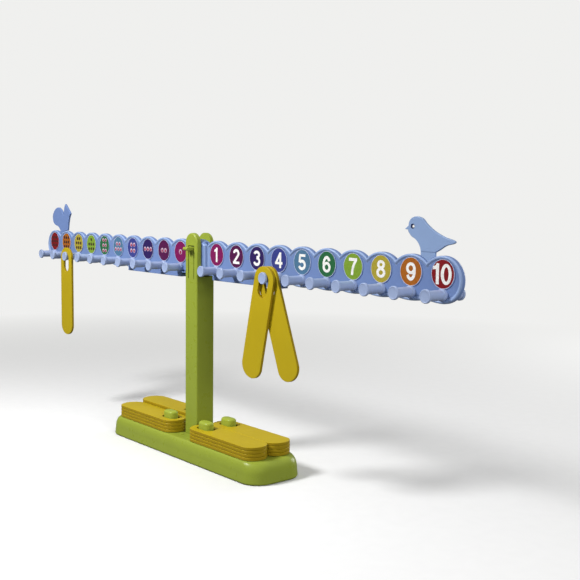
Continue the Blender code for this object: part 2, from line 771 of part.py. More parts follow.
def main():
    clear_scene()
    green = material("lime_plastic", (0.30, 0.47, 0.03), 0.38)
    blue = material("blue_plastic", (0.19, 0.29, 0.62), 0.40)
    yellow = material("yellow_plastic", (0.62, 0.44, 0.02), 0.42)
    steel = material("pin_steel", (0.62, 0.62, 0.64), 0.30, 1.0)
    build_base(green)
    build_post(green)
    build_latch(green)
    for side_x, name_x in ((-1, "left"), (1, "right")):
        for side_y, name_y in ((-1, "front"), (1, "back")):
            build_storage_post("storage_post_%s_%s" % (name_x, name_y), side_x, side_y, green)
    build_beam(blue, steel, yellow)
    for name, side_x, side_y, count in STACKS:
        build_stack(name, side_x, side_y, count, yellow)


main()
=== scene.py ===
"""Looks of the number balance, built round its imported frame.

Metres, +Z up, X along the beam, -Y is the viewer's side.
"""

import math

import bmesh
import bpy
from mathutils import Matrix, Vector


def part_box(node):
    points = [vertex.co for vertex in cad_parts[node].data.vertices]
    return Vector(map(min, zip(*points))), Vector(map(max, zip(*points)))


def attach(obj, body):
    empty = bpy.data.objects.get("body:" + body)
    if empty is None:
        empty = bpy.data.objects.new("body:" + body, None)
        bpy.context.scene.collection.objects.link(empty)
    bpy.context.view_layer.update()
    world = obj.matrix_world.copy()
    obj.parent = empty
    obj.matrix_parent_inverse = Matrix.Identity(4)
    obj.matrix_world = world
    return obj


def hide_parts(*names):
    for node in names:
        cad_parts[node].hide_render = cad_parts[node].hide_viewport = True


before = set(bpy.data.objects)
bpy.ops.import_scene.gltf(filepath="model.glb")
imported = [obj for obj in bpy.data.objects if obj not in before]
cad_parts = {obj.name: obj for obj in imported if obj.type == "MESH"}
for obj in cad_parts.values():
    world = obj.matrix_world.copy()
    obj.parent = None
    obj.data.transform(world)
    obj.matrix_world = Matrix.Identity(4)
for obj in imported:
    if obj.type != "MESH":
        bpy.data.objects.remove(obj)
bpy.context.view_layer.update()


def middle(node):
    """Give the middle of a node's box."""
    low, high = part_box(node)
    return (low + high) / 2


# Places read from the frame
PIVOT_Z = middle("pivot_pin").z
PITCH = middle("peg_right_1").x
PEG_DROP = PIVOT_Z - middle("peg_right_1").z
PEG_REACH = -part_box("peg_right_1")[0].y
PEG_REAR_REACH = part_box("peg_right_1")[1].y
BASE_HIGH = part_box("base_shell")[1]
BASE_TOP = BASE_HIGH.z
STORE_PLACE = middle("storage_post_right_back")
SIDES = (("left", -1), ("right", 1))
ROWS = ("front", "back")
PEG_COUNT = 10
GAP = 0.0003

# Cutters run a little past a face, or far where nothing is in the way
CUT_PAST = 0.002
CUT_FAR = 0.03
MERGE_DISTANCE = 1e-7

# Numbers of sides for turned shapes
DISC_SIDES = 72
SHAFT_SIDES = 40
DOT_SIDES = 24

# Base
BASE_CORNER = 0.0170
BASE_SIDE_HEIGHT = 0.0073
BASE_DRAFT = 0.0006
BASE_CROWN_X = 0.0078
BASE_CROWN_Y = 0.0036
BASE_TUCK = 0.0018
BASE_WALL = 0.0024
BASE_RIB = 0.0018
RIB_STATIONS = (0.036, 0.066, 0.094)
RIB_FOOT = 0.0015
RIB_FAR_X = 0.2
RIB_FAR_Y = 0.05
SOCKET_FOOT = 0.0010
BASE_EDGE = 0.00025
BASE_BEND = 60.0
STORE_SOCKET = 0.0080
STORE_TENON_INSET = 0.0016
STORE_CROWN = 0.0026
STORE_SWELL = 0.0003
STORE_DOME = 0.0022
STORE_ROUND = 0.98

# Post, fork and latch
POST_HALF_WIDTH = 0.0093
POST_HALF_DEPTH = 0.0092
POST_EDGE = 0.0014
POST_CUT_EDGE = 0.0003
POST_BEND = 50.0
WINDOW_PAST = 0.0001
POST_WALL = 0.0024
EAR_RISE = 0.0180
EAR_INNER = 0.0051
FORK_FLOOR = 0.0203
SPIGOT_HALF_WIDTH = 0.0070
SPIGOT_FOOT = 0.0030
TONGUE_HALF_WIDTH = 0.0037
TONGUE_THICKNESS = 0.0029
TONGUE_SLIT = 0.0009
TONGUE_ROOT = 0.0218
ROOT_GAP = 0.00002
TONGUE_TOP = 0.0061
TONGUE_EDGE = 0.0004
TAB_REACH = 0.0068
TAB_THICKNESS = 0.0030
TAB_DROP = 0.0004
TAB_INSET = 0.0003
TAB_EDGE = 0.0005
BEARING_RADIUS = 0.00275
BORE_RADIUS = 0.0027
PIN_SEAT = 0.0011

# Beam
PLATE_HALF = 0.0012
RIM_HALF = 0.0022
RIM_FOOT = 0.0029
RIM_CREST = 0.0012
RIM_EDGE = 0.0009
LOBE_TOP = 0.0120
LOBE_DIP = 0.0051
LOBE_BOTTOM = 0.0197
LOBE_BOTTOM_RADIUS = 0.0550
LOBE_RADIUS = ((PITCH / 2) ** 2 + LOBE_DIP ** 2) / (2 * LOBE_DIP)
LOBE_CENTRE = LOBE_TOP - LOBE_RADIUS
END_REACH = 0.0162
END_X = PEG_COUNT * PITCH
PEG_SHAFT = 0.0035
PEG_HEAD = 0.0047
PEG_HEAD_LENGTH = 0.0020
PEG_DISH = 0.00025
PEG_DISH_LIP = PEG_DISH * 0.3
PEG_DISH_RIM = 0.0009
PEG_HEAD_EDGE = 0.0005
PEG_BREAK = 0.0003
PEG_COLLAR = 0.0016
SEAT_RADIUS = 0.0101
SEAT_HALF = 0.0016
SEAT_BEAD = 0.0001
HUB_HALF_WIDTH = 0.0142
HUB_HALF = 0.0047
HUB_BOTTOM = 0.0184
HUB_PROUD = 0.0006
HUB_EDGE = 0.0022
# Least sideways lean of a hub face that gets the paler blue of painted highlight
HUB_HIGHLIGHT_FACING = 0.3
HUB_CORE = 0.0102
HUB_TONGUE_TOP = 0.0063
RAIL_EDGE = 0.00035
RAIL_HALF = 0.0036
RAIL_BOTTOM = 0.0222
RAIL_TOP = PEG_DROP + PEG_SHAFT + GAP
RAIL_START = 0.0245
RAIL_END = 4.19 * PITCH
RIM_START = HUB_HALF_WIDTH + 0.00002
WEB_TOP = HUB_BOTTOM - 0.0014
CHANNEL_FLOOR = RAIL_BOTTOM - 0.0020
SHALLOW = GAP - WEB_TOP

# Weights
WEIGHT_LENGTH = 0.0925
WEIGHT_WIDTH = 0.0238
WEIGHT_END_DEPTH = 0.0106
WEIGHT_EDGE = 0.0004
WEIGHT_SLOT_EDGE = 0.00028
SLOT_WIDTH = 0.0110
SLOT_LENGTH = 0.0200
SLOT_MARGIN = 0.0054
SLOT_TOP = PEG_SHAFT + GAP
SLOT_CENTRE = SLOT_TOP - SLOT_LENGTH / 2
WEIGHT_TOP = SLOT_TOP + SLOT_MARGIN
HUNG = (("weight_hung_left", "hung_left", -8, 0.0),
        ("weight_hung_right_front", "hung_right_front", 4, 12.5),
        ("weight_hung_right_back", "hung_right_back", 4, -21.0))
STACKS = (("left_front", -1, -1, 4), ("left_back", -1, 1, 5),
          ("right_front", 1, -1, 4), ("right_back", 1, 1, 4))

# Toppers
TOPPER_HALF = 0.0011
TOPPER_EDGE = 0.0004
TOPPER_GAP = 1.3 * GAP
BIRD_HEIGHT = 0.0303
BIRD_CREASE = 0.0003
BIRD_GROOVE = ((40, 22.5), (-40, 24.5), (-40, 0), (40, 0))
# The eye is a dark disc painted as the shade of an eye hole, with a painted white glint
BIRD_EYE = (-45.5, 78.0)
BIRD_EYE_RADIUS = 0.0017
BIRD_GLINT_RADIUS = 0.0009
BIRD_GLINT_SHIFT = 0.0008
BIRD_FOOT = (0.21, 0.20)
SQUIRREL_HEIGHT = 0.0343
SQUIRREL_FOOT = (0.44, 0.06)
TOPPER_X = (PEG_COUNT - 0.5) * PITCH

# Labels
LABEL_RADIUS = 0.0098
LABEL_THICKNESS = 0.00012
LABEL_EDGE = 0.00030
FILM_GAP = 0.00001
FILM_BREAK = 0.00002
INK_RISE = 0.00003
INK_ROOT = 0.00004
DIGIT_HEIGHT = 0.0124
TEN_HEIGHT = 0.0138
TEN_DIGITS = ((1, -0.33), (0, 0.21))
STROKE = 0.093
PIP_ROWS = ((1,), (2,), (3,), (2, 2), (2, 3), (2, 2, 2), (1, 3, 3), (2, 3, 3), (3, 3, 3),
            (3, 4, 3))
PIP_RADII = (2.3, 2.2, 2.1, 2.1, 1.95, 1.9, 1.65, 1.65, 1.65, 1.5)
PIP_STEPS = (5.4, 5.4, 5.2, 5.4, 5.0, 5.0, 4.5, 4.5, 4.5, 3.9)
PIP_STRETCH = 1.06
PIP_FACE = 0.94
ROSE_SHRINK = 0.66
ROSE_DROP = 0.3
LABEL_COLOURS = ((0.190, 0.010, 0.085), (0.080, 0.010, 0.060), (0.028, 0.015, 0.095),
                 (0.040, 0.050, 0.225), (0.074, 0.170, 0.280), (0.024, 0.130, 0.050),
                 (0.198, 0.325, 0.034), (0.395, 0.325, 0.040), (0.375, 0.115, 0.015),
                 (0.210, 0.010, 0.014))

# Camera, as angles round the pivot and offsets across the view
CAMERA_AZIMUTH = 49.7005
CAMERA_ELEVATION = 5.3858
CAMERA_ROLL = 0.6660
CAMERA_DISTANCE = 0.81318
CAMERA_ACROSS = 0.07987
CAMERA_DOWN = 0.03255
CAMERA_LENS = 57.039
CAMERA_SENSOR = 36.0
CAMERA_NEAR = 0.01

# Surfaces: noise scales in cells per metre, the finest grain's height, tones and gloss
FLOW_SCALE = 38.0
SPECK_SCALE = 2600.0
SCUFF_SCALE = 170.0
GRAIN_SCALE = 3800.0
PEEL_SCALE = 260.0
INK_SCALE = 900.0
SMEAR_SCALE = 120.0
FILM_SCALE = 1500.0
DRAWN_SCALE = 6000.0
FLECK_SCALE = 90.0
GRAIN = 0.00001
SPECK_SHARE = 0.16
SPECK_TONE = 0.84
FILM_GLOSS = 0.16
DRAWN_STRETCH = (1.0, 0.03, 1.0)
STEEL_TONES = ((0.50, 0.50, 0.52), (0.66, 0.66, 0.68))

# Lamps: name, place, aim, size, power, and whether reflections show it
LAMPS = (("key_light", (-0.14, -0.45, 0.58), (0.08, 0.0, 0.14), 0.20, 5.3, True),
         ("fill_light", (1.10, -0.22, 0.48), (0.05, 0.0, 0.10), 0.45, 4.6, False),
         ("back_light", (0.10, 1.20, 0.42), (0.0, 0.0, 0.12), 0.50, 5.0, True))

# Sky and floor
SKY_LOW = 0.08
SKY_HIGH = 0.45
SKY_TOP = 0.8
SKY_SEEN = 0.87
SKY_TINT = (1.0, 1.0, 0.99, 1.0)
BACKDROP_TINT = (1.0, 1.0, 0.985, 1.0)
FLOOR_TONE = 0.80
FLOOR_FLECK = 1.02
FLOOR_ROUGHNESS = 0.9
FLOOR_GLOSS = 0.1
FLOOR_BOUNCE = 0.20
FLOOR_FADE = (0.25, 1.10)
FLOOR_RADIUS = 9.0

# Angles in degrees above which an edge is shaded as a sharp one
BASE_SHARP = 30.0
BEAM_SHARP = 32.0
POST_SHARP = 35.0
LABEL_SHARP = 38.0
TOPPER_SHARP = 40.0
STUD_SHARP = 45.0
ROUND_SHARP = 50.0


# Mesh helpers


def arc(centre_x, centre_z, radius_x, radius_z, start, end, steps):
    """Follow an ellipse between two angles in degrees, both ends included."""
    points = []
    for step in range(steps + 1):
        angle = math.radians(start + (end - start) * step / steps)
        points.append((centre_x + radius_x * math.cos(angle),
                       centre_z + radius_z * math.sin(angle)))
    return points


def ellipse(centre_x, centre_z, radius_x, radius_z, steps):
    return arc(centre_x, centre_z, radius_x, radius_z, 0.0, 360.0 - 360.0 / steps, steps - 1)


def quarter(steps):
    """Give the angles of a quarter turn in even steps, both ends included."""
    return [math.pi / 2 * step / steps for step in range(steps + 1)]


def placed(points, side=1):
    """Put an outline on its side of the balance, at the pivot's height."""
    return [(side * x, PIVOT_Z + z) for x, z in points]


def moved(points, across, up, scale=1.0):
    return [(across + x * scale, up + z * scale) for x, z in points]


def bar(low_x, low_z, high_x, high_z):
    return [(low_x, low_z), (high_x, low_z), (high_x, high_z), (low_x, high_z)]


def shrunk(outline, distance):
    """Move a closed outline inwards by a distance, with square corners kept."""
    following = outline[1:] + outline[:1]
    area = sum(a[0] * b[1] - b[0] * a[1] for a, b in zip(outline, following))
    turn = 1.0 if area > 0 else -1.0
    points = []
    for before, here, after in zip(outline[-1:] + outline[:-1], outline, following):
        first = (Vector(here) - Vector(before)).normalized()
        second = (Vector(after) - Vector(here)).normalized()
        reach = turn * distance / max(1.0 + first.dot(second), 0.5)
        points.append((here[0] - (first.y + second.y) * reach,
                       here[1] + (first.x + second.x) * reach))
    return points


def add_loop(data, points, level):
    """Add the corners of an outline of (x, z) pairs at one y."""
    return [data.verts.new((x, level, z)) for x, z in points]


def add_wall(data, low, high):
    for index in range(len(low)):
        following = (index + 1) % len(low)
        data.faces.new((low[index], low[following], high[following], high[index]))


def add_walls(data, loops):
    for low, high in zip(loops, loops[1:]):
        add_wall(data, low, high)


def add_closed(data, loops):
    """Join loops with walls and cap the first and the last."""
    add_walls(data, loops)
    data.faces.new(loops[0])
    data.faces.new(loops[-1])


def edge_section(near, far, radius, steps):
    """Give (inset, level) pairs round a slab's side, from its near face to its far one."""
    front = [(radius * (1 - math.sin(a)), near + radius * (1 - math.cos(a)))
             for a in quarter(steps)]
    back = [(inset, near + far - level) for inset, level in reversed(front)]
    return front + back


def add_slab(data, outline, near, far, radius, steps=3):
    """Add a slab across Y with rounded edges."""
    section = edge_section(near, far, radius, steps)
    add_closed(data, [add_loop(data, shrunk(outline, inset), level) for inset, level in section])


def add_prism(data, outline, near, far):
    add_closed(data, [add_loop(data, outline, near), add_loop(data, outline, far)])


def add_box(data, low, high):
    add_prism(data, bar(low[0], low[2], high[0], high[2]), low[1], high[1])


def boxes(*corners):
    data = bmesh.new()
    for low, high in corners:
        add_box(data, low, high)
    return data


def add_ring(data, outer, inner, near, far):
    loops = [add_loop(data, outer, near), add_loop(data, outer, far),
             add_loop(data, inner, far), add_loop(data, inner, near)]
    add_walls(data, loops + loops[:1])


def add_turning(data, profile, x, z, sides):
    """Turn a profile of (y, radius) pairs about a line along Y at x, z."""
    add_closed(data, [add_loop(data, ellipse(x, z, radius, radius, sides), level)
                      for level, radius in profile])


def add_walls_upright(data, levels):
    """Close a stack of horizontal loops: each level is (z, list of x, y pairs)."""
    add_closed(data, [[data.verts.new((x, y, z)) for x, y in points] for z, points in levels])


def fresh(add, *details):
    """Give new mesh data that holds what one of the add_ functions makes."""
    data = bmesh.new()
    add(data, *details)
    return data


def rounded_rectangle(half_x, half_y, radius, steps):
    points = []
    corners = ((1, 1, 0.0), (-1, 1, 90.0), (-1, -1, 180.0), (1, -1, 270.0))
    for side_x, side_y, start in corners:
        points += arc(side_x * (half_x - radius), side_y * (half_y - radius),
                      radius, radius, start, start + 90.0, steps)
    return points


def smooth_run(points, cuts):
    """Run a Catmull-Rom curve through open control points."""
    ends = [points[0]] + list(points) + [points[-1]]
    run = []
    for before, start, end, after in zip(ends, ends[1:], ends[2:], ends[3:]):
        for step in range(cuts):
            t = step / cuts
            weights = (-t ** 3 + 2 * t ** 2 - t, 3 * t ** 3 - 5 * t ** 2 + 2,
                       -3 * t ** 3 + 4 * t ** 2 + t, t ** 3 - t ** 2)
            run.append(tuple(0.5 * sum(w * p[axis] for w, p in
                                       zip(weights, (before, start, end, after)))
                             for axis in (0, 1)))
    run.append(points[-1])
    return run


def thing(name, data):
    """Turn mesh data into an object in the scene."""
    bmesh.ops.remove_doubles(data, verts=data.verts, dist=MERGE_DISTANCE)
    bmesh.ops.recalc_face_normals(data, faces=data.faces)
    mesh = bpy.data.meshes.new(name)
    data.to_mesh(mesh)
    data.free()
    made = bpy.data.objects.new(name, mesh)
    bpy.context.scene.collection.objects.link(made)
    return made


def settle(target):
    """Apply a thing's modifiers and remove the tools that they used."""
    bpy.context.view_layer.update()
    graph = bpy.context.evaluated_depsgraph_get()
    mesh = bpy.data.meshes.new_from_object(target.evaluated_get(graph))
    tools = [step.object for step in target.modifiers if step.type == "BOOLEAN"]
    target.modifiers.clear()
    target.data = mesh
    mesh.name = target.name
    for tool in tools:
        bpy.data.objects.remove(tool)
    return target


def combine(target, data, operation="DIFFERENCE"):
    """Cut mesh data out of a thing, or unite the two; settle applies it."""
    tool = thing(target.name + "_tool", data)
    step = target.modifiers.new(tool.name, "BOOLEAN")
    step.operation = operation
    step.solver = "EXACT"
    step.object = tool


def soften(target, width, segments, angle):
    """Round the edges that are sharper than an angle."""
    step = target.modifiers.new("rounding", "BEVEL")
    step.width = width
    step.segments = segments
    step.limit_method = "ANGLE"
    step.angle_limit = math.radians(angle)
    step.use_clamp_overlap = True


def dress(target, body, paints, replaced=(), angle=TOPPER_SHARP):
    """Shade, paint and hang a finished piece on its body."""
    for paint in paints:
        target.data.materials.append(paint)
    target.data.shade_smooth()
    target.data.set_sharp_from_angle(angle=math.radians(angle))
    weighted = target.modifiers.new("even_normals", "WEIGHTED_NORMAL")
    weighted.keep_sharp = True
    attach(target, body)
    if replaced:
        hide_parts(*replaced)
    return target


# Materials


def link(source, socket):
    """Join two sockets of one node tree."""
    source.id_data.links.new(source, socket)


def noise(source, scale, detail):
    node = source.id_data.nodes.new("ShaderNodeTexNoise")
    node.inputs["Scale"].default_value = scale
    node.inputs["Detail"].default_value = detail
    link(source, node.inputs["Vector"])
    return node.outputs["Fac"]


def ranged(source, low, high, new_low, new_high):
    """Stretch one range of values onto another."""
    node = source.id_data.nodes.new("ShaderNodeMapRange")
    for name, value in (("From Min", low), ("From Max", high),
                        ("To Min", new_low), ("To Max", new_high)):
        node.inputs[name].default_value = value
    link(source, node.inputs["Value"])
    return node.outputs["Result"]


def blended(factor, first, second):
    """Mix two colours, each a tuple or another node's output."""
    node = factor.id_data.nodes.new("ShaderNodeMix")
    node.data_type = "RGBA"
    link(factor, node.inputs["Factor"])
    for socket, value in ((node.inputs[6], first), (node.inputs[7], second)):
        if isinstance(value, tuple):
            socket.default_value = (*value, 1.0)
        else:
            link(value, socket)
    return node.outputs[2]


def shaded(colour, amount):
    return tuple(min(1.0, part * amount) for part in colour)


def bumped(source, distance, strength, under=None):
    node = source.id_data.nodes.new("ShaderNodeBump")
    node.inputs["Distance"].default_value = distance
    node.inputs["Strength"].default_value = strength
    link(source, node.inputs["Height"])
    if under is not None:
        link(under, node.inputs["Normal"])
    return node.outputs["Normal"]


def blank(name):
    """Start a material: itself, its nodes, its shader and the object's own coordinates."""
    made = bpy.data.materials.new(name)
    made.use_nodes = True
    nodes = made.node_tree.nodes
    place = nodes.new("ShaderNodeTexCoord").outputs["Object"]
    return made, nodes, nodes["Principled BSDF"], place


def plastic(name, colour, roughness, gloss=0.24, mottle=0.03, peel=0.00005):
    """Moulded plastic: flow mottling, fine pigment specks, orange peel and light scuffs."""
    made, _, shader, place = blank(name)
    flow = ranged(noise(place, FLOW_SCALE, 3.0), 0.3, 0.7, 0.0, 1.0)
    base = blended(flow, shaded(colour, 1 - mottle), shaded(colour, 1 + mottle))
    specks = ranged(noise(place, SPECK_SCALE, 2.0), 0.60, 0.75, 0.0, SPECK_SHARE)
    base = blended(specks, base, shaded(colour, SPECK_TONE))
    link(base, shader.inputs["Base Color"])
    scuffs = noise(place, SCUFF_SCALE, 9.0)
    link(ranged(scuffs, 0.35, 0.75, roughness - 0.03, roughness + 0.06),
         shader.inputs["Roughness"])
    grain = bumped(noise(place, GRAIN_SCALE, 2.0), GRAIN, 0.5)
    skin = bumped(noise(place, PEEL_SCALE, 2.0), peel, 0.5, grain)
    link(skin, shader.inputs["Normal"])
    shader.inputs["Specular IOR Level"].default_value = gloss
    return made


def printed(name, colour, roughness=0.34):
    """Printed film: ink laid a little unevenly over a smooth gloss."""
    made, _, shader, place = blank(name)
    ink = ranged(noise(place, INK_SCALE, 4.0), 0.35, 0.65, 0.0, 1.0)
    base = blended(ink, shaded(colour, 0.90), shaded(colour, 1.08))
    link(base, shader.inputs["Base Color"])
    smear = noise(place, SMEAR_SCALE, 5.0)
    link(ranged(smear, 0.3, 0.7, roughness - 0.04, roughness + 0.08),
         shader.inputs["Roughness"])
    film = bumped(noise(place, FILM_SCALE, 2.0), GRAIN, 0.4)
    link(film, shader.inputs["Normal"])
    shader.inputs["Specular IOR Level"].default_value = FILM_GLOSS
    return made


def brushed_steel():
    """Drawn steel wire: fine lines along the pin."""
    made, nodes, shader, place = blank("pin_steel")
    stretch = nodes.new("ShaderNodeMapping")
    stretch.inputs["Scale"].default_value = DRAWN_STRETCH
    link(place, stretch.inputs["Vector"])
    lines = noise(stretch.outputs["Vector"], DRAWN_SCALE, 3.0)
    base = blended(ranged(lines, 0.3, 0.7, 0.0, 1.0), *STEEL_TONES)
    link(base, shader.inputs["Base Color"])
    link(ranged(lines, 0.3, 0.7, 0.22, 0.38), shader.inputs["Roughness"])
    link(bumped(lines, GRAIN, 0.4), shader.inputs["Normal"])
    shader.inputs["Metallic"].default_value = 1.0
    return made


GREEN = plastic("lime_plastic", (0.285, 0.348, 0.040), 0.30)
CAP_GREEN = plastic("cap_plastic", (0.335, 0.400, 0.045), 0.32)
BLUE = plastic("blue_plastic", (0.160, 0.240, 0.480), 0.34)
PEG_BLUE = plastic("peg_plastic", (0.330, 0.410, 0.620), 0.34)
TOPPER_BLUE = plastic("topper_plastic", (0.250, 0.355, 0.580), 0.34)
# A paler copy of the blue for the rims and the hub's sides: painted highlight
PAINTED_HIGHLIGHT_BLUE = plastic("rim_painted_highlight_plastic", (0.260, 0.360, 0.600), 0.34)
YELLOW = plastic("yellow_plastic", (0.470, 0.350, 0.010), 0.38, 0.16)
# A darker, warmer copy of the yellow for the weights' side faces: painted shade
PAINTED_SHADE_YELLOW = plastic("painted_shade_edge_plastic", (0.350, 0.240, 0.010), 0.42, 0.12)
STEEL = brushed_steel()
# White ink for the numerals, also used for the bird's painted glint
WHITE_INK_AND_HIGHLIGHT = printed("white_ink_and_highlight", (0.86, 0.85, 0.82))
DARK_INK = printed("dark_ink", (0.045, 0.020, 0.020))
# Dark ink for the bird's eye: painted shade of an eye hole
EYE_SHADE_INK = printed("eye_shade_ink", (0.008, 0.012, 0.055))
EDGE_INK = printed("edge_ink", (0.560, 0.600, 0.740))
PALE_INK = printed("pale_ink", (0.560, 0.420, 0.520))
ROSE_INK = printed("rose_ink", (0.300, 0.020, 0.060))
LABEL_INKS = [printed("ink_%d" % (count + 1), colour)
              for count, colour in enumerate(LABEL_COLOURS)]


# Base


def base_levels(inset, top, steps):
    """Give the crowned block's loops, all moved inwards by one inset."""
    half_x = BASE_HIGH.x - inset
    half_y = BASE_HIGH.y - inset
    corner = BASE_CORNER - inset
    foot = min(BASE_SIDE_HEIGHT, top / 2)
    levels = [(0.0, rounded_rectangle(half_x, half_y, corner, 16))]
    for angle in quarter(steps):
        lean_x = BASE_DRAFT + BASE_CROWN_X * (1 - math.cos(angle))
        lean_y = BASE_DRAFT + BASE_CROWN_Y * (1 - math.cos(angle))
        height = foot + (top - foot) * math.sin(angle)
        loop = rounded_rectangle(half_x - lean_x, half_y - lean_y, corner - lean_y, 16)
        levels.append((height, loop))
    return levels


def base_foot():
    """Round the outer edge that stands on the table."""
    levels = []
    for angle in quarter(4):
        inset = BASE_TUCK * (1 - math.sin(angle))
        loop = rounded_rectangle(BASE_HIGH.x - inset, BASE_HIGH.y - inset, BASE_CORNER - inset, 16)
        levels.append((BASE_TUCK * (1 - math.cos(angle)), loop))
    return levels


def base_cavity():
    """Give the hollow under the base, with its ribs and the post's socket left standing."""
    half = BASE_RIB / 2
    levels = base_levels(BASE_WALL, BASE_TOP - BASE_WALL, 8)
    levels[0] = (-CUT_PAST, levels[0][1])
    cavity = thing("base_cavity", fresh(add_walls_upright, levels))
    combine(cavity, boxes(((-RIB_FAR_X, -half, RIB_FOOT), (RIB_FAR_X, half, CUT_FAR))))
    ribs = bmesh.new()
    for side in (-1, 1):
        for station in RIB_STATIONS:
            x = side * station
            add_box(ribs, (x - half, -RIB_FAR_Y, RIB_FOOT), (x + half, RIB_FAR_Y, CUT_FAR))
    combine(cavity, ribs)
    socket_x = SPIGOT_HALF_WIDTH + GAP + BASE_WALL
    socket_y = POST_HALF_DEPTH + GAP + BASE_WALL
    combine(cavity, boxes(((-socket_x, -socket_y, SOCKET_FOOT), (socket_x, socket_y, CUT_FAR))))
    settle(cavity)
    data = bmesh.new()
    data.from_mesh(cavity.data)
    bpy.data.objects.remove(cavity)
    return data


def build_base():
    """Make the crowned, hollow base with its holes for the post and the studs."""
    levels = base_foot() + base_levels(0.0, BASE_TOP, 14)[1:]
    base = thing("base_moulding", fresh(add_walls_upright, levels))
    combine(base, base_cavity())
    hole_x = SPIGOT_HALF_WIDTH + GAP
    hole_y = POST_HALF_DEPTH + GAP
    combine(base, boxes(((-hole_x, -hole_y, -CUT_FAR), (hole_x, hole_y, CUT_FAR))))
    sockets = bmesh.new()
    for side_name, _ in SIDES:
        for row in ROWS:
            low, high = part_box("storage_post_%s_%s" % (side_name, row))
            plan = oblong_plan(low, high, STORE_TENON_INSET - GAP)
            add_walls_upright(sockets, [(BASE_TOP - STORE_SOCKET, plan), (BASE_TOP + CUT_PAST, plan)])
    combine(base, sockets)
    settle(base)
    soften(base, BASE_EDGE, 2, BASE_BEND)
    dress(base, "stand", [GREEN], ["base_shell"], BASE_SHARP)


def oblong_plan(low, high, inset):
    """Give a stud's round-ended plan, moved inwards by one inset."""
    half_x = (high.x - low.x) / 2 - inset
    half_y = (high.y - low.y) / 2 - inset
    plan = rounded_rectangle(half_x, half_y, half_y * STORE_ROUND, 10)
    return moved(plan, (low.x + high.x) / 2, (low.y + high.y) / 2)


def build_storage_post(name):
    """Make one round-ended stud with a domed cap and its tenon through the base."""
    low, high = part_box(name)
    tenon = oblong_plan(low, high, STORE_TENON_INSET)
    levels = [(low.z, tenon), (BASE_TOP + GAP, tenon),
              (BASE_TOP + GAP, oblong_plan(low, high, -STORE_SWELL))]
    for angle in quarter(8):
        inset = STORE_CROWN * (1 - math.cos(angle)) - STORE_SWELL
        height = high.z - STORE_DOME + STORE_DOME * math.sin(angle)
        levels.append((height, oblong_plan(low, high, inset)))
    stud = thing(name + "_stud", fresh(add_walls_upright, levels))
    dress(stud, "stand", [CAP_GREEN], [name], STUD_SHARP)


# Post, fork and latch


SWAP_XY = Matrix(((0, 1, 0), (1, 0, 0), (0, 0, 1))).to_4x4()


def build_post():
    """Make the box column with its two ears, its fork and the window of the tongue."""
    spring = PIVOT_Z + EAR_RISE - POST_HALF_WIDTH
    outline = [(-POST_HALF_WIDTH, SPIGOT_FOOT), (POST_HALF_WIDTH, SPIGOT_FOOT)]
    outline += arc(0.0, spring, POST_HALF_WIDTH, POST_HALF_WIDTH, 0.0, 180.0, 40)
    body = fresh(add_slab, outline, -POST_HALF_DEPTH, POST_HALF_DEPTH, POST_EDGE, 8)
    post = thing("post_moulding", body)
    shoulder = BASE_TOP + GAP
    edge = SPIGOT_HALF_WIDTH
    combine(post, boxes(((-CUT_FAR, -CUT_FAR, -CUT_FAR), (-edge, CUT_FAR, shoulder)),
                        ((edge, -CUT_FAR, -CUT_FAR), (CUT_FAR, CUT_FAR, shoulder))))
    combine(post, boxes(((-CUT_FAR, -EAR_INNER, PIVOT_Z - FORK_FLOOR),
                         (CUT_FAR, EAR_INNER, PIVOT_Z + CUT_FAR))))
    half = TONGUE_HALF_WIDTH + TONGUE_SLIT
    foot = PIVOT_Z - TONGUE_ROOT
    head = PIVOT_Z + TONGUE_TOP + TONGUE_SLIT
    combine(post, boxes(((-half, -CUT_FAR, foot), (half, WINDOW_PAST - EAR_INNER, head))))
    combine(post, root_roller(half, ROOT_GAP))
    bearing = ((EAR_INNER - CUT_PAST, BEARING_RADIUS),
               (EAR_INNER + PIN_SEAT + 2 * GAP, BEARING_RADIUS))
    combine(post, fresh(add_turning, bearing, 0.0, PIVOT_Z, SHAFT_SIDES))
    room = POST_HALF_WIDTH - POST_WALL
    slim = SPIGOT_HALF_WIDTH - POST_WALL
    step = shoulder + POST_WALL
    roof = foot - POST_WALL
    hollow = [(-slim, 0.0), (slim, 0.0), (slim, step), (room, step), (room, roof),
              (-room, roof), (-room, step), (-slim, step)]
    combine(post, fresh(add_prism, hollow, POST_WALL - POST_HALF_DEPTH, POST_HALF_DEPTH - POST_WALL))
    settle(post)
    soften(post, POST_CUT_EDGE, 2, POST_BEND)
    dress(post, "stand", [GREEN], ["post"], POST_SHARP)


def root_roller(half, spare):
    """Make the round root that the tongue turns about, `spare` larger in radius."""
    radius = TONGUE_THICKNESS / 2 + spare
    roller = fresh(add_turning, ((-half, radius), (half, radius)), 0.0, 0.0, 48)
    place = Matrix.Translation((0.0, TONGUE_THICKNESS / 2 - POST_HALF_DEPTH, PIVOT_Z - TONGUE_ROOT))
    bmesh.ops.transform(roller, verts=roller.verts, matrix=place @ SWAP_XY)
    return roller


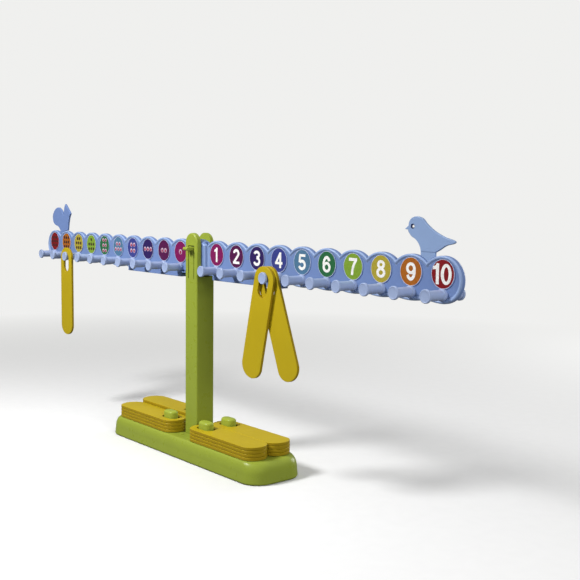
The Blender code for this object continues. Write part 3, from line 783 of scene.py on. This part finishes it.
def build_latch():
    """Make the springy tongue with its rounded thumb tab."""
    y = -POST_HALF_DEPTH + TONGUE_THICKNESS / 2
    z = PIVOT_Z - TONGUE_ROOT
    half = TONGUE_HALF_WIDTH
    thick = TONGUE_THICKNESS / 2
    height = TONGUE_ROOT + TONGUE_TOP
    data = fresh(add_slab, bar(-half, z, half, z + height), y - thick, y + thick, TONGUE_EDGE)
    low = height - TAB_THICKNESS - TAB_DROP
    nose = TAB_THICKNESS / 2
    profile = [(0.0, low), (0.0, low + TAB_THICKNESS)]
    profile += arc(nose - thick - TAB_REACH, low + nose, nose, nose, 90.0, 270.0, 12)
    tab = fresh(add_slab, profile, TAB_INSET - half, half - TAB_INSET, TAB_EDGE)
    bmesh.ops.transform(tab, verts=tab.verts, matrix=Matrix.Translation((0.0, y, z)) @ SWAP_XY)
    tongue = thing("latch_moulding", data)
    combine(tongue, tab, "UNION")
    combine(tongue, root_roller(half, -ROOT_GAP), "UNION")
    cup = ((y + thick - PIN_SEAT - GAP, BEARING_RADIUS), (y + thick + CUT_PAST, BEARING_RADIUS))
    combine(tongue, fresh(add_turning, cup, 0.0, PIVOT_Z, SHAFT_SIDES))
    settle(tongue)
    dress(tongue, "latch", [GREEN], ["latch_tongue"])


# Beam


def lobe_arc(index, inset, start, end, steps):
    """Follow lobe `index` from x offset `start` to `end` along its top arc."""
    radius = LOBE_RADIUS - inset
    points = []
    for step in range(steps + 1):
        offset = start + (end - start) * step / steps
        points.append((index * PITCH + offset,
                       LOBE_CENTRE + math.sqrt(radius ** 2 - offset ** 2)))
    return points


def lower_edge(x, inset):
    """Give the height of the plate's scalloped lower edge at x."""
    offset = x - PITCH * round(x / PITCH)
    radius = LOBE_BOTTOM_RADIUS - inset
    return -LOBE_BOTTOM + LOBE_BOTTOM_RADIUS - math.sqrt(radius ** 2 - offset ** 2)


def rim_run(inset):
    """Run round the rimmed edge, from the rail's end below to the hub above."""
    start = RAIL_END + GAP
    cuts = 72
    run = []
    for step in range(cuts + 1):
        x = start + (END_X - start) * step / cuts
        run.append((x, lower_edge(x, inset)))
    centre = (LOBE_TOP - LOBE_BOTTOM) / 2
    rise = (LOBE_TOP + LOBE_BOTTOM) / 2
    run += arc(END_X, centre, END_REACH - inset, rise - inset, -90.0, 90.0, 48)[1:]
    half = PITCH / 2
    run += lobe_arc(PEG_COUNT, inset, 0.0, -half, 10)[1:]
    for index in range(PEG_COUNT - 1, 1, -1):
        run += lobe_arc(index, inset, half, -half, 20)[1:]
    run += lobe_arc(1, inset, half, RIM_START + inset - PITCH, 20)[1:]
    x, crest = run[-1]
    cuts = 12
    run += [(x, crest + (SHALLOW - crest) * step / cuts) for step in range(1, cuts + 1)]
    return run


def plain_run():
    """Run along the edge that the rail hides."""
    start = RIM_START + RIM_FOOT + GAP
    deep_start = RAIL_START + GAP
    deep_end = RAIL_END - GAP
    floor = -CHANNEL_FLOOR + GAP
    return [(start, SHALLOW), (deep_start, SHALLOW), (deep_start, floor), (deep_end, floor),
            (deep_end, lower_edge(deep_end, 0.0))]


def rim_section():
    """Give (inset, level) pairs from the front pocket's floor, over the rim, to the back one."""
    steps = 8
    front = []
    for step in range(steps + 1):
        rise = (1 - math.cos(math.pi * step / steps)) / 2
        front.append((RIM_FOOT + (RIM_CREST - RIM_FOOT) * step / steps,
                      -PLATE_HALF - (RIM_HALF - PLATE_HALF) * rise))
    for angle in quarter(4):
        front.append((RIM_EDGE * (1 - math.sin(angle)), -RIM_HALF + RIM_EDGE * (1 - math.cos(angle))))
    return front + [(inset, -level) for inset, level in reversed(front)]


def seat_profile():
    """Profile of a label seat on both faces: a flat floor inside a low round bead."""
    bead = (SEAT_RADIUS - LABEL_RADIUS) / 2
    half = [(-SEAT_HALF, LABEL_RADIUS - 2 * GAP), (-SEAT_HALF, LABEL_RADIUS)]
    half += [(-SEAT_HALF - SEAT_BEAD * math.sin(math.radians(angle)),
              LABEL_RADIUS + bead * (1 - math.cos(math.radians(angle))))
             for angle in (30, 60, 90, 120, 150, 180)]
    half.append((-PLATE_HALF + GAP, SEAT_RADIUS + SEAT_BEAD))
    return half + [(-level, radius) for level, radius in reversed(half)]


def build_arm(side_name, side):
    """Make one scalloped plate, rimmed on both faces, with its label seats.

    The rims and the plate's outer wall get a paler copy of the blue than the pockets: painted
    highlight.
    """
    data = bmesh.new()
    loops = []
    for inset, level in rim_section():
        shallow = max(-PLATE_HALF, min(PLATE_HALF, level))
        loops.append(add_loop(data, placed(rim_run(inset), side), level)
                     + add_loop(data, placed(plain_run(), side), shallow))
    add_walls(data, loops)
    # Faces off the pocket floors take the paler blue: painted highlight on the rims
    for face in data.faces:
        face.material_index = int(abs(face.calc_center_median().y) > PLATE_HALF)
    data.faces.new(loops[0])
    data.faces.new(loops[-1])
    inner = HUB_CORE + GAP
    tongue = bar(inner, SHALLOW, RIM_START + GAP, HUB_TONGUE_TOP)
    add_prism(data, placed(tongue, side), -PLATE_HALF, PLATE_HALF)
    for index in range(1, PEG_COUNT + 1):
        add_turning(data, seat_profile(), side * index * PITCH, PIVOT_Z, DISC_SIDES)
    arm = thing(side_name + "_arm_moulding", data)
    dress(arm, "beam", [BLUE, PAINTED_HIGHLIGHT_BLUE], [side_name + "_arm"], BEAM_SHARP)


def peg_profile():
    """Profile of one peg: dished head, shaft and a small collar on the plate."""
    bite = PEG_BREAK
    nip = PEG_BREAK / 3
    dish = PEG_HEAD - PEG_DISH_RIM
    head = [(PEG_DISH, 8 * nip), (PEG_DISH, dish - bite), (PEG_DISH_LIP, dish),
            (0.0, dish + 2 * nip)]
    for angle in quarter(4):
        head.append((PEG_HEAD_EDGE * (1 - math.cos(angle)),
                     PEG_HEAD - PEG_HEAD_EDGE * (1 - math.sin(angle))))
    shoulder = PEG_HEAD_LENGTH
    head += [(shoulder - bite, PEG_HEAD), (shoulder - nip, PEG_HEAD - nip),
             (shoulder, PEG_HEAD - bite), (shoulder, PEG_SHAFT + bite),
             (shoulder + nip, PEG_SHAFT + nip), (shoulder + bite, PEG_SHAFT)]
    root = RIM_HALF + PEG_COLLAR
    collar = [(root, PEG_SHAFT), (root - bite, PEG_SHAFT + 4 * nip),
              (root - 8 * nip, PEG_SHAFT + 6 * nip), (PLATE_HALF, PEG_SHAFT + 7 * nip)]
    front = [(level - PEG_REACH, radius) for level, radius in head]
    front += [(-level, radius) for level, radius in collar]
    rear = [(PEG_REAR_REACH - level, radius) for level, radius in head] + collar
    return front + rear[::-1]


def build_pegs():
    """Make the twenty pegs, each through its plate with a head at both ends."""
    for side_name, side in SIDES:
        for index in range(1, PEG_COUNT + 1):
            node = "peg_%s_%d" % (side_name, index)
            data = fresh(add_turning, peg_profile(), side * index * PITCH, PIVOT_Z - PEG_DROP,
                         SHAFT_SIDES)
            peg = thing(node + "_turned", data)
            dress(peg, "beam", [PEG_BLUE], [node], ROUND_SHARP)


def build_yoke():
    """Make the hub in the fork with its two grooved rails."""
    hub = [(-HUB_HALF_WIDTH, -HUB_BOTTOM), (HUB_HALF_WIDTH, -HUB_BOTTOM)]
    hub += lobe_arc(0, -HUB_PROUD, HUB_HALF_WIDTH, -HUB_HALF_WIDTH, 32)
    data = fresh(add_slab, placed(hub), -HUB_HALF, HUB_HALF, HUB_EDGE, 5)
    yoke = thing("yoke_moulding", data)
    for side in (-1, 1):
        rail = [(HUB_HALF_WIDTH - CUT_PAST, -RAIL_TOP), (HUB_HALF_WIDTH - CUT_PAST, -HUB_BOTTOM),
                (RAIL_START, -HUB_BOTTOM), (RAIL_START, -RAIL_BOTTOM),
                (RAIL_END, -RAIL_BOTTOM), (RAIL_END, -RAIL_TOP)]
        data = fresh(add_slab, placed(rail, side), -RAIL_HALF, RAIL_HALF, RAIL_EDGE)
        combine(yoke, data, "UNION")
        far = RAIL_END + CUT_PAST
        high = LOBE_TOP + CUT_PAST
        slot = [(HUB_CORE, high), (HUB_CORE, -WEB_TOP), (RAIL_START, -WEB_TOP),
                (RAIL_START, -CHANNEL_FLOOR), (far, -CHANNEL_FLOOR), (far, high)]
        combine(yoke, fresh(add_prism, placed(slot, side), -PLATE_HALF - GAP, PLATE_HALF + GAP))
    bore = ((-CUT_FAR, BORE_RADIUS), (CUT_FAR, BORE_RADIUS))
    combine(yoke, fresh(add_turning, bore, 0.0, PIVOT_Z, SHAFT_SIDES))
    settle(yoke)
    # The hub's rounded sides take the paler blue: painted highlight
    for face in yoke.data.polygons:
        highlight_side = abs(abs(face.center.x) - HUB_HALF_WIDTH) < HUB_EDGE
        face.material_index = int(highlight_side and abs(face.normal.x) > HUB_HIGHLIGHT_FACING)
    dress(yoke, "beam", [BLUE, PAINTED_HIGHLIGHT_BLUE], ["centre_yoke"], BEAM_SHARP)


# Toppers


def lobe_height(x):
    offset = x - PITCH * round(x / PITCH)
    return LOBE_CENTRE + math.sqrt(LOBE_RADIUS ** 2 - offset ** 2)


def seat_run(start, end, steps):
    """Follow the scalloped edge one gap above it."""
    run = []
    for step in range(steps + 1):
        x = start + (end - start) * step / steps
        run.append((x, lobe_height(x) + TOPPER_GAP))
    return run


def scaled(points, size):
    """Turn points given in hundredths of a topper's height into metres."""
    return moved(points, TOPPER_X, LOBE_TOP - LOBE_DIP, size / 100)


def build_topper(name, side, profile, height, foot):
    """Stand a flat figure on the edge, its foot's ends given as shares of its height."""
    inner, outer = (share * height for share in foot)
    foot = seat_run(TOPPER_X - inner, TOPPER_X, 8)[:-1] + seat_run(TOPPER_X, TOPPER_X + outer, 8)
    outline = placed(scaled(profile, height) + foot, side)
    data = fresh(add_slab, outline, -TOPPER_HALF, TOPPER_HALF, TOPPER_EDGE, 4)
    return thing(name + "_figure", data)


def build_bird():
    """Make the bird: its body above a crease, a thinner foot below it, and its painted eye."""
    back = smooth_run([(20, 22), (32, 28), (50, 38), (70, 43), (75, 47), (69, 51),
                       (45, 57), (21, 67), (4, 77), (-8, 86), (-19, 96), (-36, 100),
                       (-50, 96), (-57, 88), (-59, 79)], 8)
    beak = [(-67, 73), (-70, 71), (-60, 70)]
    breast = smooth_run([(-59, 66), (-50, 56), (-37, 49), (-27, 39), (-22, 28), (-21, 17)], 8)
    bird = build_topper("bird_topper", 1, back + beak + breast, BIRD_HEIGHT, BIRD_FOOT)
    for side in (-1, 1):
        groove = placed(scaled(BIRD_GROOVE, BIRD_HEIGHT))
        combine(bird, fresh(add_prism, groove, side * (TOPPER_HALF - BIRD_CREASE),
                            side * (TOPPER_HALF + BIRD_CREASE)))
    settle(bird)
    # Eye: a dark disc of painted shade, and a white painted glint on its right
    near = -TOPPER_HALF - 2 * INK_RISE
    x, z = scaled([BIRD_EYE], BIRD_HEIGHT)[0]
    eye = fresh(add_turning, ((near, BIRD_EYE_RADIUS), (-TOPPER_HALF, BIRD_EYE_RADIUS)),
                x, PIVOT_Z + z, 32)
    painted_glint = fresh(add_turning, ((near - INK_ROOT, BIRD_GLINT_RADIUS), (near, BIRD_GLINT_RADIUS)),
                  x + BIRD_GLINT_SHIFT, PIVOT_Z + z, DOT_SIDES)
    joined(bird, [thing("eye", eye), thing("painted_glint", painted_glint)], (0, 1, 2))
    dress(bird, "beam", [TOPPER_BLUE, EYE_SHADE_INK, WHITE_INK_AND_HIGHLIGHT], ["bird_topper"])


def build_squirrel():
    """Make the squirrel: its tail outwards, its ear and its head towards the pivot."""
    tail = smooth_run([(6, 17), (22, 28), (40, 32), (55, 42), (58, 63), (42, 82), (18, 89),
                       (-3, 80), (-17, 64)], 8)
    ear = [(-23, 90), (-30, 100)]
    head = smooth_run([(-43, 89), (-51, 82), (-62, 71), (-59, 64), (-54, 56), (-49, 40)], 8)
    squirrel = build_topper("squirrel_topper", -1, tail + ear + head, SQUIRREL_HEIGHT, SQUIRREL_FOOT)
    dress(squirrel, "beam", [BLUE], ["squirrel_topper"])


# Labels


def ribbon(path, half):
    """Widen an open path into a closed outline with square ends."""
    left = []
    right = []
    for index, here in enumerate(path):
        before = Vector(path[max(index - 1, 0)])
        after = Vector(path[min(index + 1, len(path) - 1)])
        along = (after - before).normalized()
        left.append((here[0] - along.y * half, here[1] + along.x * half))
        right.append((here[0] + along.y * half, here[1] - along.x * half))
    return left + right[::-1]


def hoop(z, wide, tall, thick):
    """Give the two outlines of an elliptic ring round 0, z."""
    return (ellipse(0, z, wide, tall, SHAFT_SIDES),
            ellipse(0, z, wide - 2 * STROKE, tall - thick * STROKE, SHAFT_SIDES))


def digit_parts(digit):
    """Give a digit's outlines and rings in a box of unit height about 0, 0."""
    s = STROKE
    steps = 28
    if digit == 0:
        return [], [hoop(0, 0.33, 0.5, 1.7)]
    if digit == 1:
        return [[(-s, -0.5), (s, -0.5), (s, 0.5), (-0.06, 0.5), (-0.12, 0.40), (-0.27, 0.34),
                 (-0.27, 0.20), (-s, 0.22)]], []
    if digit == 2:
        hook = arc(0, 0.21, 0.255, 0.205, 175, -32, steps)
        return [ribbon(hook + [(-0.02, -0.15), (-0.24, -0.40)], s),
                bar(-0.355, -0.5, 0.35, -0.5 + 1.8 * s)], []
    if digit == 3:
        return [ribbon(arc(-0.02, 0.235, 0.25, 0.18, 165, -95, steps), s),
                ribbon(arc(-0.02, -0.195, 0.275, 0.215, 95, -165, steps), s)], []
    if digit == 4:
        return [bar(0.05, -0.5, 0.05 + 2 * s, 0.5), bar(-0.37, -0.27, 0.36, -0.27 + 1.75 * s),
                ribbon([(0.13, 0.45), (-0.29, -0.19)], 0.9 * s)], []
    if digit == 5:
        return [bar(-0.25, 0.5 - 1.8 * s, 0.31, 0.5), ribbon([(-0.19, 0.44), (-0.245, -0.02)], 0.9 * s),
                ribbon(arc(-0.01, -0.17, 0.27, 0.24, 138, -160, steps), s)], []
    if digit == 6:
        return ([ribbon(arc(0.0, 0.0, 0.26, 0.41, 28, 180, steps) + [(-0.26, -0.18)], s)],
                [hoop(-0.175, 0.35, 0.325, 1.8)])
    if digit == 7:
        stem = smooth_run([(0.24, 0.40), (0.08, 0.12), (-0.03, -0.20), (-0.07, -0.5)], 8)
        return [bar(-0.34, 0.5 - 1.9 * s, 0.34, 0.5), ribbon(stem, s)], []
    if digit == 8:
        return [], [hoop(0.245, 0.305, 0.255, 1.75), hoop(-0.205, 0.35, 0.295, 1.75)]
    solids, rings = digit_parts(6)
    return ([moved(points, 0, 0, -1) for points in solids],
            [(moved(outer, 0, 0, -1), moved(inner, 0, 0, -1)) for outer, inner in rings])


def digit_tools(digit, across, size, x, near, far):
    """Make one mesh for each part of a digit, so that they can be united."""
    centre = x + across * size
    solids, rings = digit_parts(digit)
    tools = [fresh(add_prism, moved(points, centre, PIVOT_Z, size), near, far)
             for points in solids]
    for outer, inner in rings:
        tools.append(fresh(add_ring, moved(outer, centre, PIVOT_Z, size),
                           moved(inner, centre, PIVOT_Z, size), near, far))
    return tools


def numeral(name, count, x, near, far):
    """Make the numeral of a count as one flat raised shape."""
    digits = [(count, 0.0)] if count < 10 else TEN_DIGITS
    size = DIGIT_HEIGHT if count < 10 else TEN_HEIGHT
    made = None
    for digit, across in digits:
        for data in digit_tools(digit, across, size, x, near, far):
            if made is None:
                made = thing(name, data)
            else:
                combine(made, data, "UNION")
    return settle(made)


def pips(count, x, near, far, shrink, drop):
    """Lay out a count of round pips in rows."""
    rows = PIP_ROWS[count - 1]
    radius = PIP_RADII[count - 1] / 1000 * shrink
    step = PIP_STEPS[count - 1] / 1000
    data = bmesh.new()
    for row, number in enumerate(rows):
        up = ((len(rows) - 1) / 2 - row) * step * PIP_STRETCH - drop * radius
        for place in range(number):
            across = (place - (number - 1) / 2) * step
            add_turning(data, ((near, radius * PIP_FACE), (near + FILM_BREAK, radius), (far, radius)),
                        x + across, PIVOT_Z + up, DOT_SIDES)
    return thing("pips", data)


def joined(target, others, numbers):
    """Take the meshes of other things into the target, each with its material number."""
    data = bmesh.new()
    for number, other in zip(numbers, [target, *others]):
        first = len(data.faces)
        data.from_mesh(other.data)
        data.faces.ensure_lookup_table()
        for face in data.faces[first:]:
            face.material_index = number
    data.to_mesh(target.data)
    data.free()
    for other in others:
        bpy.data.objects.remove(other)
    return target


def build_label(side_name, side, count):
    """Make one round label: a coloured field with its numeral or its pips."""
    x = side * count * PITCH
    back = -SEAT_HALF - FILM_GAP
    front = back - LABEL_THICKNESS
    raised = front - INK_RISE
    root = front + INK_ROOT
    radius = LABEL_RADIUS - FILM_BREAK
    film = ((front, radius - FILM_BREAK), (front + FILM_BREAK, radius), (back, radius))
    field = fresh(add_turning, film, x, PIVOT_Z, DISC_SIDES)
    disc = thing("label_%s_%d" % (side_name, count), field)
    if side > 0:
        marks = [(numeral("numeral", count, x, raised, root), WHITE_INK_AND_HIGHLIGHT)]
    elif count < 7:
        marks = [(pips(count, x, raised, root, 1.0, 0.0), PALE_INK),
                 (pips(count, x, raised - INK_RISE, raised + INK_RISE, ROSE_SHRINK, ROSE_DROP),
                  ROSE_INK)]
    else:
        marks = [(pips(count, x, raised, root, 1.0, 0.0), DARK_INK)]
    inner = radius - LABEL_EDGE
    edge = fresh(add_ring, ellipse(x, PIVOT_Z, radius, radius, DISC_SIDES),
                 ellipse(x, PIVOT_Z, inner, inner, DISC_SIDES), raised, back)
    marks.append((thing("edge", edge), EDGE_INK))
    joined(disc, [mark for mark, ink in marks], range(len(marks) + 1))
    paints = [LABEL_INKS[count - 1]] + [ink for mark, ink in marks]
    dress(disc, "beam", paints, angle=LABEL_SHARP)


# Weights


def oblong(width, length, centre_z, end_depth, steps):
    """Give a straight-sided outline with elliptic ends."""
    half = width / 2
    straight = length / 2 - end_depth
    return (arc(0.0, centre_z + straight, half, end_depth, 0.0, 180.0, steps)
            + arc(0.0, centre_z - straight, half, end_depth, 180.0, 360.0, steps))


def weight_mesh(near, far):
    """Make a weight that hangs from the origin, its edges and its slot's edges rounded.

    Its side faces get a darker copy of the yellow: painted shade.
    """
    data = bmesh.new()
    loops = []
    for inset, level in edge_section(near, far, WEIGHT_EDGE, 4):
        points = oblong(WEIGHT_WIDTH - 2 * inset, WEIGHT_LENGTH - 2 * inset,
                        WEIGHT_TOP - WEIGHT_LENGTH / 2, WEIGHT_END_DEPTH - inset, 28)
        loops.append(add_loop(data, points, level))
    for inset, level in reversed(edge_section(near, far, WEIGHT_SLOT_EDGE, 4)):
        points = oblong(SLOT_WIDTH + 2 * inset, SLOT_LENGTH + 2 * inset,
                        SLOT_CENTRE, SLOT_WIDTH / 2 + inset, 28)
        loops.append(add_loop(data, points, level))
    add_walls(data, loops + loops[:1])
    # The side faces take the darker yellow: painted shade
    middle_y = (near + far) / 2
    reach = (far - near) / 2 - WEIGHT_EDGE / 2
    for face in data.faces:
        face.material_index = int(abs(face.calc_center_median().y - middle_y) < reach)
    return data


def finish_weight(node, body, data):
    """Turn the mesh of a weight that is in its place into a finished piece."""
    weight = thing(node + "_stick", data)
    dress(weight, body, [YELLOW, PAINTED_SHADE_YELLOW], [node], ROUND_SHARP)


def build_hung():
    """Hang the three weights in use from their pegs, tilted as in the photo."""
    for node, body, peg, tilt in HUNG:
        low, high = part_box(node)
        data = weight_mesh(low.y, high.y)
        place = Matrix.Translation((peg * PITCH, 0.0, PIVOT_Z - PEG_DROP))
        turn = Matrix.Rotation(math.radians(tilt), 4, "Y")
        bmesh.ops.transform(data, verts=data.verts, matrix=place @ turn)
        finish_weight(node, body, data)


def build_stacks():
    """Lay the spare weights over the studs, slots inwards, one above the other."""
    for name, side_x, side_y, count in STACKS:
        lie_down = Matrix(((0, 0, -side_x), (-side_x, 0, 0), (0, 1, 0))).to_4x4()
        for level in range(1, count + 1):
            node = "weight_%s_%d" % (name, level)
            low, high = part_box(node)
            half = (high.z - low.z) / 2
            data = weight_mesh(-half, half)
            bmesh.ops.translate(data, verts=data.verts, vec=(0, 0, -SLOT_CENTRE))
            place = Matrix.Translation((side_x * abs(STORE_PLACE.x), side_y * abs(STORE_PLACE.y),
                                        (low.z + high.z) / 2))
            bmesh.ops.transform(data, verts=data.verts, matrix=place @ lie_down)
            finish_weight(node, "stored_%s_%d" % (name, level), data)


# Stage, light and camera


def build_floor():
    """Lay a plain pale floor that fades into the backdrop's tone far from the object.

    To the camera it is pale, but it throws little light back up, like a dark table would.
    """
    data = bmesh.new()
    bmesh.ops.create_circle(data, cap_ends=True, segments=96, radius=FLOOR_RADIUS)
    floor = thing("floor", data)
    made, nodes, shader, place = blank("pale_floor")
    seen = nodes.new("ShaderNodeLightPath").outputs["Is Camera Ray"]
    fleck = ranged(noise(place, FLECK_SCALE, 4.0), 0.3, 0.7, 0.0, 1.0)
    tone = blended(fleck, (FLOOR_TONE,) * 3, (FLOOR_TONE * FLOOR_FLECK,) * 3)
    tone = blended(seen, (FLOOR_BOUNCE,) * 3, tone)
    link(tone, shader.inputs["Base Color"])
    shader.inputs["Roughness"].default_value = FLOOR_ROUGHNESS
    shader.inputs["Specular IOR Level"].default_value = FLOOR_GLOSS
    far_off = nodes.new("ShaderNodeVectorMath")
    far_off.operation = "LENGTH"
    link(place, far_off.inputs[0])
    fade = ranged(far_off.outputs["Value"], *FLOOR_FADE, 0.0, 1.0)
    glow = nodes.new("ShaderNodeEmission")
    glow.inputs["Color"].default_value = BACKDROP_TINT
    link(ranged(seen, 0.0, 1.0, SKY_LOW, SKY_SEEN), glow.inputs["Strength"])
    both = nodes.new("ShaderNodeMixShader")
    link(fade, both.inputs[0])
    link(shader.outputs[0], both.inputs[1])
    link(glow.outputs[0], both.inputs[2])
    link(both.outputs[0], nodes["Material Output"].inputs["Surface"])
    floor.data.materials.append(made)


def build_sky():
    """Give soft light, strongest from above, under a brighter plain backdrop."""
    world = bpy.data.worlds.new("studio")
    bpy.context.scene.world = world
    world.use_nodes = True
    nodes = world.node_tree.nodes
    light = nodes["Background"]
    light.inputs["Color"].default_value = SKY_TINT
    place = nodes.new("ShaderNodeTexCoord").outputs["Generated"]
    split = nodes.new("ShaderNodeSeparateXYZ")
    link(place, split.inputs[0])
    link(ranged(split.outputs["Z"], 0.0, SKY_TOP, SKY_LOW, SKY_HIGH),
         light.inputs["Strength"])
    seen = nodes.new("ShaderNodeBackground")
    seen.inputs["Color"].default_value = BACKDROP_TINT
    seen.inputs["Strength"].default_value = SKY_SEEN
    path = nodes.new("ShaderNodeLightPath")
    both = nodes.new("ShaderNodeMixShader")
    link(path.outputs["Is Camera Ray"], both.inputs[0])
    link(light.outputs[0], both.inputs[1])
    link(seen.outputs[0], both.inputs[2])
    link(both.outputs[0], nodes["World Output"].inputs["Surface"])


def add_lamp(name, place, aim, size, power, glossy):
    lamp = bpy.data.lights.new(name, "AREA")
    lamp.shape = "DISK"
    lamp.size = size
    lamp.energy = power
    made = bpy.data.objects.new(name, lamp)
    made.location = place
    made.visible_glossy = glossy
    made.rotation_euler = (Vector(place) - Vector(aim)).to_track_quat("Z", "Y").to_euler()
    bpy.context.scene.collection.objects.link(made)


def build_camera():
    """Place the camera that was fitted to the photo."""
    azimuth = math.radians(CAMERA_AZIMUTH)
    elevation = math.radians(CAMERA_ELEVATION)
    back = Vector((math.sin(azimuth) * math.cos(elevation),
                   -math.cos(azimuth) * math.cos(elevation), math.sin(elevation)))
    right = Vector((math.cos(azimuth), math.sin(azimuth), 0.0))
    up = back.cross(right)
    roll = math.radians(CAMERA_ROLL)
    right, up = (right * math.cos(roll) + up * math.sin(roll),
                 up * math.cos(roll) - right * math.sin(roll))
    data = bpy.data.cameras.new("camera")
    data.sensor_width = CAMERA_SENSOR
    data.lens = CAMERA_LENS
    data.clip_start = CAMERA_NEAR
    camera = bpy.data.objects.new("camera", data)
    place = (Vector((0.0, 0.0, PIVOT_Z)) + back * CAMERA_DISTANCE
             + right * CAMERA_ACROSS - up * CAMERA_DOWN)
    turn = Matrix((right, up, back)).transposed().to_4x4()
    camera.matrix_world = Matrix.Translation(place) @ turn
    bpy.context.scene.collection.objects.link(camera)
    bpy.context.scene.camera = camera


def main():
    build_camera()
    build_sky()
    for lamp in LAMPS:
        add_lamp(*lamp)
    build_floor()
    bpy.context.scene.view_settings.view_transform = "Standard"
    build_base()
    for side_name, _ in SIDES:
        for row in ROWS:
            build_storage_post("storage_post_%s_%s" % (side_name, row))
    build_post()
    build_latch()
    build_yoke()
    for side_name, side in SIDES:
        build_arm(side_name, side)
        for count in range(1, PEG_COUNT + 1):
            build_label(side_name, side, count)
    build_pegs()
    build_bird()
    build_squirrel()
    build_hung()
    build_stacks()
    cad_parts["pivot_pin"].data.materials.clear()
    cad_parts["pivot_pin"].data.materials.append(STEEL)


main()
